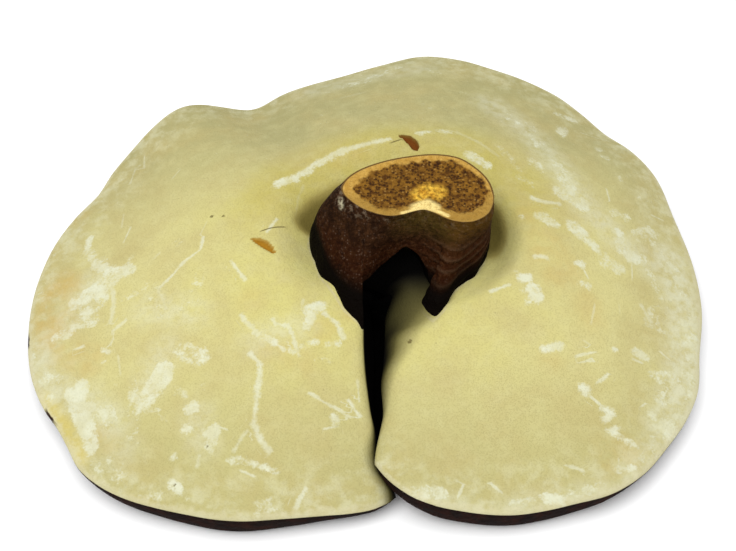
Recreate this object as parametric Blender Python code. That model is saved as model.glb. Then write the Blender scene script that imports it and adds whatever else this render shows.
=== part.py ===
"""A bracket fungus lying on its cap: pores upwards, with the cut stem standing up in the middle.

Real brackets of this kind are a kidney-shaped cap that grew round its own stem until the two lobes
met. Here the cap rests on its dark upper crust, so that the pale pore face looks up. The two lobes
meet in a slit that runs from the stem to the front edge, where the right lobe laps over the left.
The stem is hollowed at the front, above the slit, and stands on two feet there.

Lengths are in millimetres until a mesh is made. +X is to the right, +Y to the back and +Z up, with
0 on the surface that the fungus lies on. A bearing is an angle round the hub in degrees: 0 at the
slit, 90 at the left, 180 at the back, 270 at the right and 360 at the slit again, now on the right
lobe's side. The hub is the middle of the slit's inner end.
"""

import bpy
import numpy as np

METRE = 0.001
# The middle of the whole outline in the plan below, which is moved to x = 0, y = 0
MIDDLE = np.array((0.59, -0.98, 0.0))

# ---- Cap: plan ----
HUB = np.array((1.9, -17.2))
SLIT_END_RADIUS = 4.0
# How far the margin lies from the hub: (bearing, reach)
MARGIN_REACH = (
    (0, 61.8), (1, 64.2), (3, 66.9), (7, 69.6), (12, 72), (20, 77), (25, 80.7), (30, 83.9), (35, 86.8),
    (40, 90.2), (45, 93.8), (50, 96.7), (55, 98.3), (60, 97.8), (64, 98), (68, 99.4), (74, 100.7),
    (86, 101.1), (98, 100.9), (106, 100.4), (112, 99.2), (118, 97.6), (124, 99), (130, 99.6),
    (136, 100.2), (143, 101), (150, 98.2), (156, 95.4), (162, 96.8), (168, 97.6), (175, 99.1),
    (182, 102.6), (189, 106.9), (196, 107.3), (202, 107), (208, 107.8), (215, 108), (221, 106.4),
    (227, 104.6), (232, 105.2), (239, 104.6), (249, 100.8), (261, 99.2), (270, 98.3), (280, 96.9),
    (288, 97.9), (294, 97.3), (301, 95.8), (308, 94.6), (315, 91.6), (321, 87), (326, 84),
    (331, 81.3), (341, 75), (348, 71), (353, 67.2), (357, 61.8), (360, 56.5),
)
# The slit's two edges, seen from above: (distance out from the hub, how far to the right of the hub
# the left lobe's edge is, and the right lobe's)
SLIT_EDGES = (
    (0, -4.0, 4.0), (18, -2.6, 4.2), (28, -2.3, 4.2), (40, -0.9, 3.8), (50, 0.5, 2.4),
    (56, 2.7, 1.0), (62, 6.6, 1.0), (68, 6.4, 2.6),
)
# How far to either side the mesh makes room for those edges
SLIT_PUSH_REACH = 34.0

# ---- Cap: heights ----
# Height of the line between pale pores and dark crust, along the margin: (bearing, height)
MARGIN_HEIGHT = (
    (0, 6.2), (10, 7.3), (22, 9.0), (36, 9.2), (60, 9.0), (90, 9.0), (112, 8.5), (126, 10.0), (138, 13.0),
    (146, 12.5), (156, 9.0), (166, 9.5), (182, 12.0), (198, 14.0), (214, 12.0), (224, 10.5),
    (236, 10.5), (255, 9.0), (275, 8.3), (300, 8.9), (314, 9.2), (326, 8.8), (338, 10.0), (350, 12.4),
    (360, 14.0),
)
# The swelling round the stem: (bearing, distance of its top from the hub, height of its top)
SWELLING = (
    (0, 14, 24.5), (45, 18, 26.5), (90, 27, 29.0), (125, 36, 31.0), (155, 44, 31.5), (190, 48, 32.5),
    (225, 48, 32.5), (250, 47, 31.5), (270, 43, 30.0), (300, 28, 27.0), (330, 18, 23.5), (360, 14, 21.5),
)
# The hollow between the swelling and the stem: (bearing, its depth, its foot's distance from the hub)
MOAT = (
    (0, 0, 6), (60, 0.5, 10), (100, 4.5, 15), (130, 7.0, 20), (170, 7.0, 25), (206, 6.5, 31),
    (235, 6.5, 37), (257, 6.0, 37), (280, 2.5, 30), (310, 0, 18), (360, 0, 6),
)
# How gently the swelling's top turns into the slope down to the margin
SLOPE_SOFTNESS = 0.3
# Broad bumps and dips of the pore face: (x, y, reach along, reach across, turn in degrees, height)
FOLDS = (
    (-33, 51, 26, 10, 118, -4.0),
    (-60, 58, 16, 12, 130, 2.0),
    (58, 64, 14, 14, 0, -1.2),
    (4, -72, 9, 7, 90, -1.5),
)
# How the pore face rounds off at the margin and at the left lobe's edge
LIP_DROP, LIP_WIDTH = 1.0, 2.5
LEFT_EDGE_DROP, LEFT_EDGE_WIDTH = 2.5, 3.0
# The right lobe's edge rolls down into the slit: (distance out from the hub, drop, width)
RIGHT_ROLL = ((0, 11, 11), (20, 9, 10), (40, 5, 7), (54, 1.8, 3.5), (68, 1.4, 2.5))
# Under the stem's hollow it falls into the slit's end: (bearing, drop, width)
END_ROLL = (
    (0, 4, 5), (90, 4, 5), (135, 7, 8), (180, 12, 13), (225, 13, 15), (270, 9, 11), (305, 5, 6), (360, 4, 5),
)

# ---- Cap: crust ----
# The rim's blunt edge: (bearing, its depth below the pore line, how far it curves under)
RIM = (
    (0, 5.6, 5.5), (8, 7.0, 6.0), (16, 8.2, 4.4), (24, 8.6, 3.0), (34, 8.6, 2.9), (42, 8.6, 4.4),
    (50, 8.2, 6), (58, 6.0, 9), (75, 5.6, 9), (110, 7.5, 7), (180, 9.0, 6), (255, 7.0, 7), (300, 6.0, 9),
    (308, 6.5, 9), (314, 8.0, 6), (320, 8.6, 3.8), (327, 8.6, 3.0), (338, 8.8, 2.9), (346, 8.0, 2.2),
    (352, 6.4, 1.8), (360, 5.2, 2.2),
)
# How far the slit's walls curve under, at its two edges and at its end: (bearing, how far)
WALL = (
    (0, 4.5), (20, 5), (40, 5.2), (90, 5.5), (180, 6), (270, 5.5), (300, 5.2), (330, 4.5), (345, 3.0),
    (360, 2.2),
)
# Within this share of the reach the crust is flat, and it rests there
CRUST_FLAT = 0.66
# Below its mouth the slit closes: the gap left there, how far in from the mouth each wall leans over
# most, over what distance it draws back, and how far the walls lean at the slit's end
SLIT_GAP = 0.5
LEAN_AT, LEAN_BACK = 1.8, 14.0
END_LEAN = 4.6

# ---- Cap: spacing of the mesh ----
# Bearings crowd at the slit's two edges, and the rings at the slit's end and at the margin
EDGE_BEARINGS = (0, 0.6, 1.5, 3, 5, 8, 12, 17)
MIDDLE_BEARINGS = 72
RING_SHARES = (
    0, 0.012, 0.03, 0.055, 0.085, 0.12, 0.16, 0.205, 0.255, 0.31, 0.37, 0.435, 0.505, 0.58, 0.66,
    0.74, 0.82, 0.895, 0.95, 0.98, 0.993, 1,
)

# ---- Stem ----
CUT_HEIGHT = 50.0
WAIST_HEIGHT = 27.0
FOOT_HEIGHT = 24.0
ROOT_HEIGHT = 15.0
# The gap left between the stem's foot and the cap
ROOT_GAP = 0.3
# The stem's skin is a loft along strands that run down it, anticlockwise seen from above.
# On its outside, from the right foot round the back to the left foot, each strand is given by its
# x and y at the cut, at the bend that it makes half-way down, and at the foot.
OUTER_STRANDS = (
    (24.9, -18.9, 21.2, -21.6, 15.2, -29.8), (27.0, -19.3, 22.0, -22.0, 19.3, -34.6),
    (28.8, -19.3, 25.4, -22.0, 22.4, -31.8),
    (30.6, -18.9, 28.6, -20.5, 24.2, -26.8), (32.6, -17.8, 31.8, -18.5, 27.4, -22.8),
    (34.5, -16.0, 34.2, -16.5, 31.8, -18.5), (35.8, -13.0, 35.4, -13.0, 34.8, -13.0),
    (36.3, -9.0, 36.0, -7.0, 36.3, -4.0), (35.2, -3.7, 35.5, -0.5, 36.2, 3.6),
    (32.0, 1.3, 33.0, 4.5, 32.5, 9.5), (26.9, 5.6, 26.5, 9.0, 25.0, 13.0),
    (19.9, 7.0, 17.5, 10.5, 15.4, 14.2), (12.4, 6.1, 8.0, 10.0, 4.9, 13.3),
    (5.4, 4.2, -1.5, 8.0, -5.3, 10.6), (-0.6, 1.4, -9.0, 4.5, -12.1, 6.0),
    (-4.7, -2.0, -14.0, -0.5, -16.2, 0.4), (-6.6, -5.6, -16.5, -5.0, -16.6, -6.2),
    (-6.3, -8.2, -15.5, -10.0, -14.6, -13.0), (-5.0, -10.2, -12.5, -14.5, -12.9, -19.6),
    (-3.3, -12.0, -8.5, -17.5, -9.4, -25.2), (-1.5, -13.6, -4.5, -20.0, -5.6, -31.4),
    (0.0, -14.6, -1.6, -18.8, -0.6, -36.0),
)
# In front, from the left foot to the right one, the strands turn in under a lip and make the
# hollow: x and y at the cut, x, y and z at the lip, x and y at the foot.
HOLLOW_STRANDS = (
    (1.5, -15.4, -1.1, -23.8, 27.3, -1.2, -26.5), (4.3, -16.5, 1.3, -22.0, 30.0, -3.0, -17.5),
    (7.3, -17.0, 4.4, -20.2, 32.4, -2.0, -11.0), (10.4, -16.5, 8.2, -18.5, 35.3, 2.2, -7.0),
    (13.4, -15.4, 11.4, -17.6, 37.8, 7.8, -4.8), (16.4, -14.7, 14.9, -18.6, 35.8, 12.8, -7.4),
    (19.2, -15.8, 16.7, -20.4, 32.8, 16.2, -12.6), (21.9, -17.5, 17.8, -22.2, 30.0, 17.9, -20.0),
    (23.6, -18.4, 18.9, -24.2, 27.5, 19.2, -24.4),
)
# The share of the way below the lip in which a strand turns in
TURN_SHARE = 0.22
POINTS_PER_STRAND = 2
SHARES_ABOVE_LIP = (0, 0.17, 0.34, 0.51, 0.68, 0.84)
SHARES_BELOW_LIP = (0, 0.055, 0.11, 0.165, 0.22, 0.4, 0.6, 0.8, 1)

PORE_COLOUR = (0.62, 0.56, 0.26, 1)
STEM_COLOUR = (0.035, 0.018, 0.011, 1)


def along(rows, at, column=1):
    """Smooth curve through the rows' (station, value) points, read at the stations `at`."""
    stations = np.array([row[0] for row in rows], float)
    values = np.array([row[column] for row in rows], float)
    slopes = np.gradient(values, stations)
    at = np.clip(at, stations[0], stations[-1])
    i = np.clip(np.searchsorted(stations, at, side="right") - 1, 0, len(stations) - 2)
    span = stations[i + 1] - stations[i]
    t = (at - stations[i]) / span
    return (
        (1 + 2 * t) * (1 - t) ** 2 * values[i]
        + t * (1 - t) ** 2 * span * slopes[i]
        + t * t * (3 - 2 * t) * values[i + 1]
        + t * t * (t - 1) * span * slopes[i + 1]
    )


def ease(t):
    """0 below 0, 1 above 1, and a smooth step between."""
    t = np.clip(t, 0, 1)
    return t * t * (3 - 2 * t)


def rounded(distance, width):
    """0 at an edge, rising along a quarter circle to 1 at `width` from it."""
    return np.sqrt(1 - (1 - np.clip(distance / width, 0, 1)) ** 2)


def leaning(distance):
    """0 at the slit's mouth, 1 at LEAN_AT in from it, and back to 0 over LEAN_BACK more."""
    return ease(distance / LEAN_AT) * (1 - ease((distance - LEAN_AT) / LEAN_BACK))


class CapGrid:
    """The cap as two sheets over one grid, from the slit's left edge round to its right edge."""

    def __init__(self, bearings, shares):
        self.bearing, share = np.meshgrid(bearings, shares, indexing="ij")
        self.reach = along(MARGIN_REACH, self.bearing)
        self.radius = SLIT_END_RADIUS + (self.reach - SLIT_END_RADIUS) * share
        self.turn = np.radians(self.bearing)
        self.on_left = self.bearing < 180
        self.measure_edges()
        self.x, self.y = self.plan(self.radius)
        self.upper = self.pore_height()
        self.lower_x, self.lower_y = self.crust_plan()
        self.lower = self.crust_height()

    def measure_edges(self):
        """How far each point is from the cap's edges."""
        ahead = np.cos(self.turn)
        far = self.radius * np.where(ahead > 0, np.abs(np.sin(self.turn)), 1 + 3 * ease(-ahead))
        self.from_left = np.where(self.on_left, far, self.reach)
        self.from_right = np.where(self.on_left, self.reach, far)
        self.from_margin = self.reach - self.radius
        self.from_end = self.radius - SLIT_END_RADIUS

    def plan(self, radius):
        """Where the grid's points lie in plan when they are `radius` from the hub."""
        side, ahead = radius * np.sin(self.turn), radius * np.cos(self.turn)
        left_edge, right_edge = along(SLIT_EDGES, radius, 1), along(SLIT_EDGES, radius, 2)
        push = np.clip(1 - np.abs(side) / SLIT_PUSH_REACH, 0, 1) ** 2 * ease(np.cos(self.turn) * 1.3)
        x = HUB[0] - side + np.where(self.on_left, left_edge, right_edge) * push
        return x, HUB[1] - ahead

    def crust_plan(self):
        """The crust's plan, which leans in under the slit's mouth from both sides and from its end."""
        off_sides = ease(np.minimum(self.from_left, self.from_right) / LEAN_AT)
        radius = self.radius - END_LEAN * leaning(self.from_end) * off_sides
        x, y = self.plan(radius)
        left_edge, right_edge = along(SLIT_EDGES, radius, 1), along(SLIT_EDGES, radius, 2)
        room = right_edge - left_edge
        lean = np.maximum(room - SLIT_GAP, 0) / 2 + LEAN_AT * ease(room)
        middle = HUB[0] + (left_edge + right_edge) / 2
        to_middle = np.where(self.on_left, middle - x, x - middle) - SLIT_GAP / 2
        lean = np.clip(to_middle, 0, lean) * ease(np.cos(self.turn) * 1.3)
        return x + lean * (leaning(self.from_left) - leaning(self.from_right)), y

    def pore_height(self):
        edge = along(MARGIN_HEIGHT, self.bearing) + LIP_DROP
        top_at, top = along(SWELLING, self.bearing, 1), along(SWELLING, self.bearing, 2)
        outward = np.clip((self.radius - top_at) / (self.reach - top_at), 0, 1)
        slope = outward**2 * (1 + SLOPE_SOFTNESS) / (outward + SLOPE_SOFTNESS)
        foot_at = along(MOAT, self.bearing, 2)
        inward = np.clip((top_at - self.radius) / (top_at - foot_at), 0, 1)
        height = top - (top - edge) * slope - along(MOAT, self.bearing, 1) * ease(inward)
        for x, y, long, wide, turn, rise in FOLDS:
            c, s = np.cos(np.radians(turn)), np.sin(np.radians(turn))
            u = (c * (self.x - x) + s * (self.y - y)) / long
            v = (c * (self.y - y) - s * (self.x - x)) / wide
            height = height + rise * np.exp(-(u * u + v * v) / 2)
        height = height - LIP_DROP * (1 - rounded(self.from_margin, LIP_WIDTH))
        height = height - LEFT_EDGE_DROP * (1 - rounded(self.from_left, LEFT_EDGE_WIDTH))
        drop, width = along(RIGHT_ROLL, self.radius, 1), along(RIGHT_ROLL, self.radius, 2)
        height = height - drop * (1 - rounded(self.from_right, width))
        drop, width = along(END_ROLL, self.bearing, 1), along(END_ROLL, self.bearing, 2)
        return height - drop * (1 - rounded(self.from_end, width))

    def crust_height(self):
        depth, under = along(RIM, self.bearing, 1), along(RIM, self.bearing, 2)
        rise = np.maximum(along(MARGIN_HEIGHT, self.bearing) - depth, 0)
        crust = rise * ease((self.radius / self.reach - CRUST_FLAT) / (1 - CRUST_FLAT))
        share = rounded(self.from_margin, under)
        wall = along(WALL, self.bearing)
        for distance in (self.from_left, self.from_right, self.from_end):
            share = share * rounded(distance, wall)
        return self.upper + (crust - self.upper) * share


def cap_mesh():
    """Closed mesh of the cap's two sheets, which share the points on their common edge."""
    last = EDGE_BEARINGS[-1]
    middle = np.linspace(last, 360 - last, MIDDLE_BEARINGS + 2)[1:-1]
    bearings = np.concatenate((EDGE_BEARINGS, middle, 360 - np.array(EDGE_BEARINGS[::-1])))
    grid = CapGrid(bearings, RING_SHARES)
    columns, rows = grid.x.shape
    inner = np.zeros((columns, rows), bool)
    inner[1:-1, 1:-1] = True
    above = np.arange(columns * rows).reshape(columns, rows)
    below = above.copy()
    below[inner] = columns * rows + np.arange(inner.sum())
    upper = np.stack((grid.x, grid.y, grid.upper), -1)
    lower = np.stack((grid.lower_x, grid.lower_y, grid.lower), -1)
    points = np.concatenate((upper.reshape(-1, 3), lower[inner]))
    faces = []
    for i in range(columns - 1):
        for j in range(rows - 1):
            ring = ((i, j), (i, j + 1), (i + 1, j + 1), (i + 1, j))
            faces.append([above[k] for k in reversed(ring)])
            faces.append([below[k] for k in ring])
    return mesh_of("cap", points, faces)


def around(values, count_between):
    """Closed smooth curve through `values`, cut into `count_between` steps from each to the next."""
    before, after, further = np.roll(values, 1), np.roll(values, -1), np.roll(values, -2)
    steps = []
    for step in range(count_between):
        t = step / count_between
        steps.append(
            values
            + 0.5 * t * (after - before)
            + t * t * (before - 2.5 * values + 2 * after - 0.5 * further)
            + t**3 * (1.5 * (values - after) + 0.5 * (further - before))
        )
    return np.stack(steps, -1).reshape(-1)


def strand_points(above, below):
    """One point on every strand: the share `above` of the way from the cut down to the lip, and the
    share `below` of the way on from there to the root."""
    outer = np.array(OUTER_STRANDS)
    outer_z = CUT_HEIGHT - (CUT_HEIGHT - WAIST_HEIGHT) * above - (WAIST_HEIGHT - ROOT_HEIGHT) * below
    down = min((CUT_HEIGHT - outer_z) / (CUT_HEIGHT - FOOT_HEIGHT), 1)
    near, mid, far = (1 - down) ** 2, 2 * down * (1 - down), down**2
    outer_xy = near * outer[:, 0:2] + mid * outer[:, 2:4] + far * outer[:, 4:6]
    hollow = np.array(HOLLOW_STRANDS)
    cut, lip, lip_z, foot = hollow[:, 0:2], hollow[:, 2:4], hollow[:, 4], hollow[:, 5:7]
    hollow_xy = cut + (lip - cut) * above + (foot - lip) * ease(below / TURN_SHARE)
    hollow_z = CUT_HEIGHT - (CUT_HEIGHT - lip_z) * above - (lip_z - ROOT_HEIGHT) * below
    xy = np.concatenate((outer_xy, hollow_xy))
    z = np.concatenate((np.full(len(outer), outer_z), hollow_z))
    return xy[:, 0], xy[:, 1], z


def stem_mesh():
    """Closed loft along the strands, from the cut down into the cap."""
    steps = [(share, 0) for share in SHARES_ABOVE_LIP] + [(1, share) for share in SHARES_BELOW_LIP]
    loops = []
    for above, below in steps:
        columns = (around(values, POINTS_PER_STRAND) for values in strand_points(above, below))
        loops.append(np.stack(list(columns), -1))
    count = len(loops[0])
    lowest = (len(loops) - 1) * count
    faces = [list(range(count)), [lowest + k for k in reversed(range(count))]]
    for start in range(0, lowest, count):
        for k in range(count):
            after = (k + 1) % count
            faces.append([start + k, start + count + k, start + count + after, start + after])
    return mesh_of("stem", np.concatenate(loops), faces)


def mesh_of(name, points, faces):
    mesh = bpy.data.meshes.new(name)
    mesh.from_pydata(((points - MIDDLE) * METRE).tolist(), [], faces)
    mesh.validate()
    return mesh


def material(name, colour, roughness):
    made = bpy.data.materials.new(name)
    made.use_nodes = True
    shader = made.node_tree.nodes["Principled BSDF"]
    shader.inputs["Base Color"].default_value = colour
    shader.inputs["Roughness"].default_value = roughness
    return made


def add(name, mesh, finish):
    obj = bpy.data.objects.new(name, mesh)
    bpy.context.scene.collection.objects.link(obj)
    if not mesh.materials:
        mesh.materials.append(finish)
    return obj


def main():
    for obj in list(bpy.data.objects):
        bpy.data.objects.remove(obj)
    cap = add("cap", cap_mesh(), material("pore_face", PORE_COLOUR, 0.8))
    cap.data.shade_smooth()
    stem = add("stem", stem_mesh(), material("stem_bark", STEM_COLOUR, 0.55))

    # The stem ends where it meets the cap, less a gap: the cap, grown by the gap, cuts it off.
    grown_cap = add("grown_cap", cap.data, cap.data.materials[0])
    grown_cap.hide_render = True
    grown_cap.display_type = "WIRE"
    grow = grown_cap.modifiers.new("grow", "DISPLACE")
    grow.mid_level = 0
    grow.strength = ROOT_GAP * METRE
    trim = stem.modifiers.new("trim", "BOOLEAN")
    trim.operation = "DIFFERENCE"
    trim.solver = "EXACT"
    trim.object = grown_cap


main()
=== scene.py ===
"""Looks of a dried bracket fungus that lies on its lacquered crust with the pore face up.

The cap and the stem are each one fine mesh over the plan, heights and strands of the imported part,
with the low relief that only shows close up. In two places they follow the real one more closely than
the part does: the slit is narrower near its middle, and the left corner of the stem's arch is further
forward. The pore face carries its bruises, scratches and yellowed places by where they are on the
plan, and the stem's cut shows rim, pith and flesh.

Lengths are in millimetres until a mesh is made. A bearing is an angle round the hub in degrees: 0 at
the slit, 90 at the left, 180 at the back, 270 at the right and 360 at the slit again.
"""

import math

import bpy
import numpy as np
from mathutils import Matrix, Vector


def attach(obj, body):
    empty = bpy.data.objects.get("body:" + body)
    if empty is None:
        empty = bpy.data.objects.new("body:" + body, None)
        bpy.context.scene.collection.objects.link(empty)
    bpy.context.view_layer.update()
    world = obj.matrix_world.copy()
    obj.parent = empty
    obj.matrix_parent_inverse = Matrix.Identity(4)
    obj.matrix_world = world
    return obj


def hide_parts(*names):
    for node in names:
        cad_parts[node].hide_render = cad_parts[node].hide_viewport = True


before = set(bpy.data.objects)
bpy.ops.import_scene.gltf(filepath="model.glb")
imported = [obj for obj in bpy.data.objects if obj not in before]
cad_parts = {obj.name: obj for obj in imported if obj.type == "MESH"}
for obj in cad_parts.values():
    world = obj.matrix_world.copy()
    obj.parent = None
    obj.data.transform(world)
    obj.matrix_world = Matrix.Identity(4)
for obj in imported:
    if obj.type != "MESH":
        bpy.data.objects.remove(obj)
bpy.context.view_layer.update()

METRE = 0.001
# The middle of the outline in the plan below, which is moved to x = 0, y = 0
MIDDLE = np.array((0.59, -0.98, 0.0))

# ---- Cap: plan ----
HUB = np.array((1.9, -17.2))
SLIT_END_RADIUS = 4.0
# How far the margin lies from the hub: (bearing, reach)
MARGIN_REACH = (
    (0, 61.8), (1, 64.2), (3, 66.9), (7, 69.6), (12, 72), (20, 77), (25, 80.7), (30, 83.9), (35, 86.8),
    (40, 90.2), (45, 93.8), (50, 96.7), (55, 98.3), (60, 97.8), (64, 98), (68, 99.4), (74, 100.7),
    (86, 101.1), (98, 100.9), (106, 100.4), (112, 99.2), (118, 97.6), (124, 99), (130, 99.6),
    (136, 100.2), (143, 101), (150, 98.2), (156, 95.4), (162, 96.8), (168, 97.6), (175, 99.1),
    (182, 102.6), (189, 106.9), (196, 107.3), (202, 107), (208, 107.8), (215, 108), (221, 106.4),
    (227, 104.6), (232, 105.2), (239, 104.6), (249, 100.8), (261, 99.2), (270, 98.3), (280, 96.9),
    (288, 97.9), (294, 97.3), (301, 95.8), (308, 94.6), (315, 91.6), (321, 87), (326, 84),
    (331, 81.3), (341, 75), (348, 71), (353, 67.2), (357, 61.8), (360, 56.5),
)
# The slit's two edges: (distance out from the hub, how far right of it the left one is, the right one)
SLIT_EDGES = (
    (0, -4.0, 4.0), (18, -2.1, 3.7), (24, -2.0, 3.3), (31, -1.5, 2.7), (36, -0.9, 3.0), (41, -0.1, 3.2),
    (46, 1.2, 2.4), (50, 1.7, 1.6), (56, 3.1, 0.8), (62, 6.8, 1.0), (68, 6.4, 2.6),
)
# The edges push the plan aside this far to the left and the right, and less and less round the hub
SLIT_PUSH_REACH = 34.0
PUSH_IN_FRONT = 1.3
# Behind the hub a place counts as this many times further from the slit than it is
AWAY_BEHIND = 3

# ---- Cap: heights ----
# Height of the line between pale pores and dark crust: (bearing, height)
MARGIN_HEIGHT = (
    (0, 6.2), (10, 7.3), (22, 9.0), (36, 9.2), (60, 9.0), (90, 9.0), (112, 8.5), (126, 10.0), (138, 13.0),
    (146, 12.5), (156, 9.0), (166, 9.5), (182, 12.0), (198, 14.0), (214, 12.0), (224, 10.5),
    (236, 10.5), (255, 9.0), (275, 8.3), (300, 8.9), (314, 9.2), (326, 8.8), (338, 10.0), (350, 12.4),
    (360, 14.0),
)
# The swelling round the stem: (bearing, distance of its top from the hub, height of its top)
SWELLING = (
    (0, 14, 24.5), (45, 18, 26.5), (90, 27, 29.0), (125, 36, 31.0), (155, 44, 31.5), (190, 48, 32.5),
    (225, 48, 32.5), (250, 47, 31.5), (270, 43, 30.0), (300, 28, 27.0), (330, 18, 23.5), (360, 14, 21.5),
)
# The hollow between the swelling and the stem: (bearing, its depth, its foot's distance from the hub)
MOAT = (
    (0, 0, 6), (60, 0.5, 10), (100, 4.5, 15), (130, 7.0, 20), (170, 7.0, 25), (206, 6.5, 31),
    (235, 6.5, 37), (257, 6.0, 37), (280, 2.5, 30), (310, 0, 18), (360, 0, 6),
)
SLOPE_SOFTNESS = 0.3
# Broad bumps and dips of the pore face: (x, y, reach along, reach across, turn in degrees, height)
FOLDS = (
    (-33, 51, 26, 10, 118, -4.0), (-60, 58, 16, 12, 130, 2.0), (58, 64, 14, 14, 0, -1.2),
    (4, -72, 9, 7, 90, -1.5),
)
LIP_DROP, LIP_WIDTH = 1.0, 2.5
LEFT_EDGE_DROP, LEFT_EDGE_WIDTH = 2.5, 3.0
# The right lobe's edge rolls down into the slit: (distance out from the hub, drop, width)
RIGHT_ROLL = ((0, 11, 11), (20, 9, 10), (40, 5, 7), (54, 1.8, 3.5), (68, 1.4, 2.5))
# Under the stem's hollow it falls into the slit's end: (bearing, drop, width)
END_ROLL = (
    (0, 4, 5), (90, 4, 5), (135, 7, 8), (180, 12, 13), (225, 13, 15), (270, 9, 11), (305, 5, 6), (360, 4, 5),
)
# The rim's blunt edge: (bearing, its depth below the pore line, how far it curves under)
RIM = (
    (0, 5.6, 5.5), (8, 7.0, 6.0), (16, 8.2, 4.4), (24, 8.6, 3.0), (34, 8.6, 2.9), (42, 8.6, 4.4),
    (50, 8.2, 6), (58, 6.0, 9), (75, 5.6, 9), (110, 7.5, 7), (180, 9.0, 6), (255, 7.0, 7), (300, 6.0, 9),
    (308, 6.5, 9), (314, 8.0, 6), (320, 8.6, 3.8), (327, 8.6, 3.0), (338, 8.8, 2.9), (346, 8.0, 2.2),
    (352, 6.4, 1.8), (360, 5.2, 2.2),
)
# How far the slit's walls curve under, at its two edges and at its end: (bearing, how far)
WALL = (
    (0, 4.5), (20, 5), (40, 5.2), (90, 5.5), (180, 6), (270, 5.5), (300, 5.2), (330, 4.5), (345, 3.0),
    (360, 2.2),
)
CRUST_FLAT = 0.66
# Below its mouth the slit closes: the gap left there, less than 0 because the walls meet, how far in
# from the mouth each wall leans over most, over what distance it draws back, how far in it still
# touches the other wall, how far the lips may overlap before that stops, and the lean at its end
SLIT_GAP = -0.1
LEAN_AT, LEAN_BACK = 1.8, 14.0
TOUCH_TO = 3.0
LAP_SOFT = 0.4
END_LEAN = 4.6

# ---- Cap: low relief ----
# Soft unevenness of the pore face: (size across, height), and how near the edges it dies out
PORE_WAVES = ((22.0, 0.35), (7.0, 0.10))
PORE_WAVES_END = 8
# Two gouges through the pores, a light and a dark one: (x, y, half width) from tip to tip
LIGHT_GOUGE = (
    (-33.2, -7.0, 0.1), (-31.2, -8.0, 1.2), (-29.2, -9.3, 1.5), (-27.4, -11.0, 1.1), (-26.2, -12.8, 0.2),
)
DARK_GOUGE = ((9.5, 32.7, 0.1), (11.8, 31.8, 0.7), (13.4, 30.5, 1.5), (14.6, 28.9, 1.7), (15.3, 27.5, 1.4))
LIGHT_GOUGE_DEPTH, DARK_GOUGE_DEPTH = 1.3, 1.8
GOUGE_STEEPNESS = 1.7
# Growth lines of the crust, as distances in from the margin: (distance, width, depth)
GROWTH_LINES = (
    (6.0, 1.2, 0.45), (11.5, 1.6, 0.6), (18.5, 1.4, 0.45), (24.0, 2.2, 0.8), (33.0, 1.8, 0.5),
    (40.5, 2.4, 0.7), (50.0, 2.0, 0.4), (58.0, 2.6, 0.6), (69.0, 2.4, 0.4), (79.0, 3.0, 0.4),
)
# How the lines wander: (size across, how far), and how near the margin they run straight
LINE_DRIFT = ((30.0, 1.6), (9.0, 0.5))
STRAIGHT_NEAR_MARGIN = 6
# Soft unevenness of the crust: (size across, height), and how near the margin it dies out
CRUST_WAVES = ((16.0, 0.5), (5.0, 0.16))
CRUST_WAVES_END = 10

# ---- Cap: spacing of the mesh ----
EDGE_BEARINGS = (0, 0.3, 0.7, 1.2, 1.8, 2.5, 3.4, 4.5, 5.8, 7.3, 9.0, 11.0, 13.0)
MIDDLE_BEARINGS = 372
# Rings crowd at the slit's end and at the margin: millimetres in from either
END_RINGS = (0, 0.1, 0.35, 0.8, 1.4, 2.1, 2.9, 3.8, 4.8)
MARGIN_RINGS = (0, 0.06, 0.18, 0.35, 0.6, 0.9, 1.3, 1.8, 2.4, 3.1, 3.9)
MIDDLE_RINGS = 96
USUAL_REACH = 95.0

# ---- Marks on the pore face, each (half width, strength, (x, y), (x, y), ...) ----
# How gradually each kind of soft mark ends
BRUISE_SOFTNESS, VEIL_SOFTNESS, YELLOW_SOFTNESS, TAN_SOFTNESS = 0.9, 4.5, 1.6, 3.0
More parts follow.
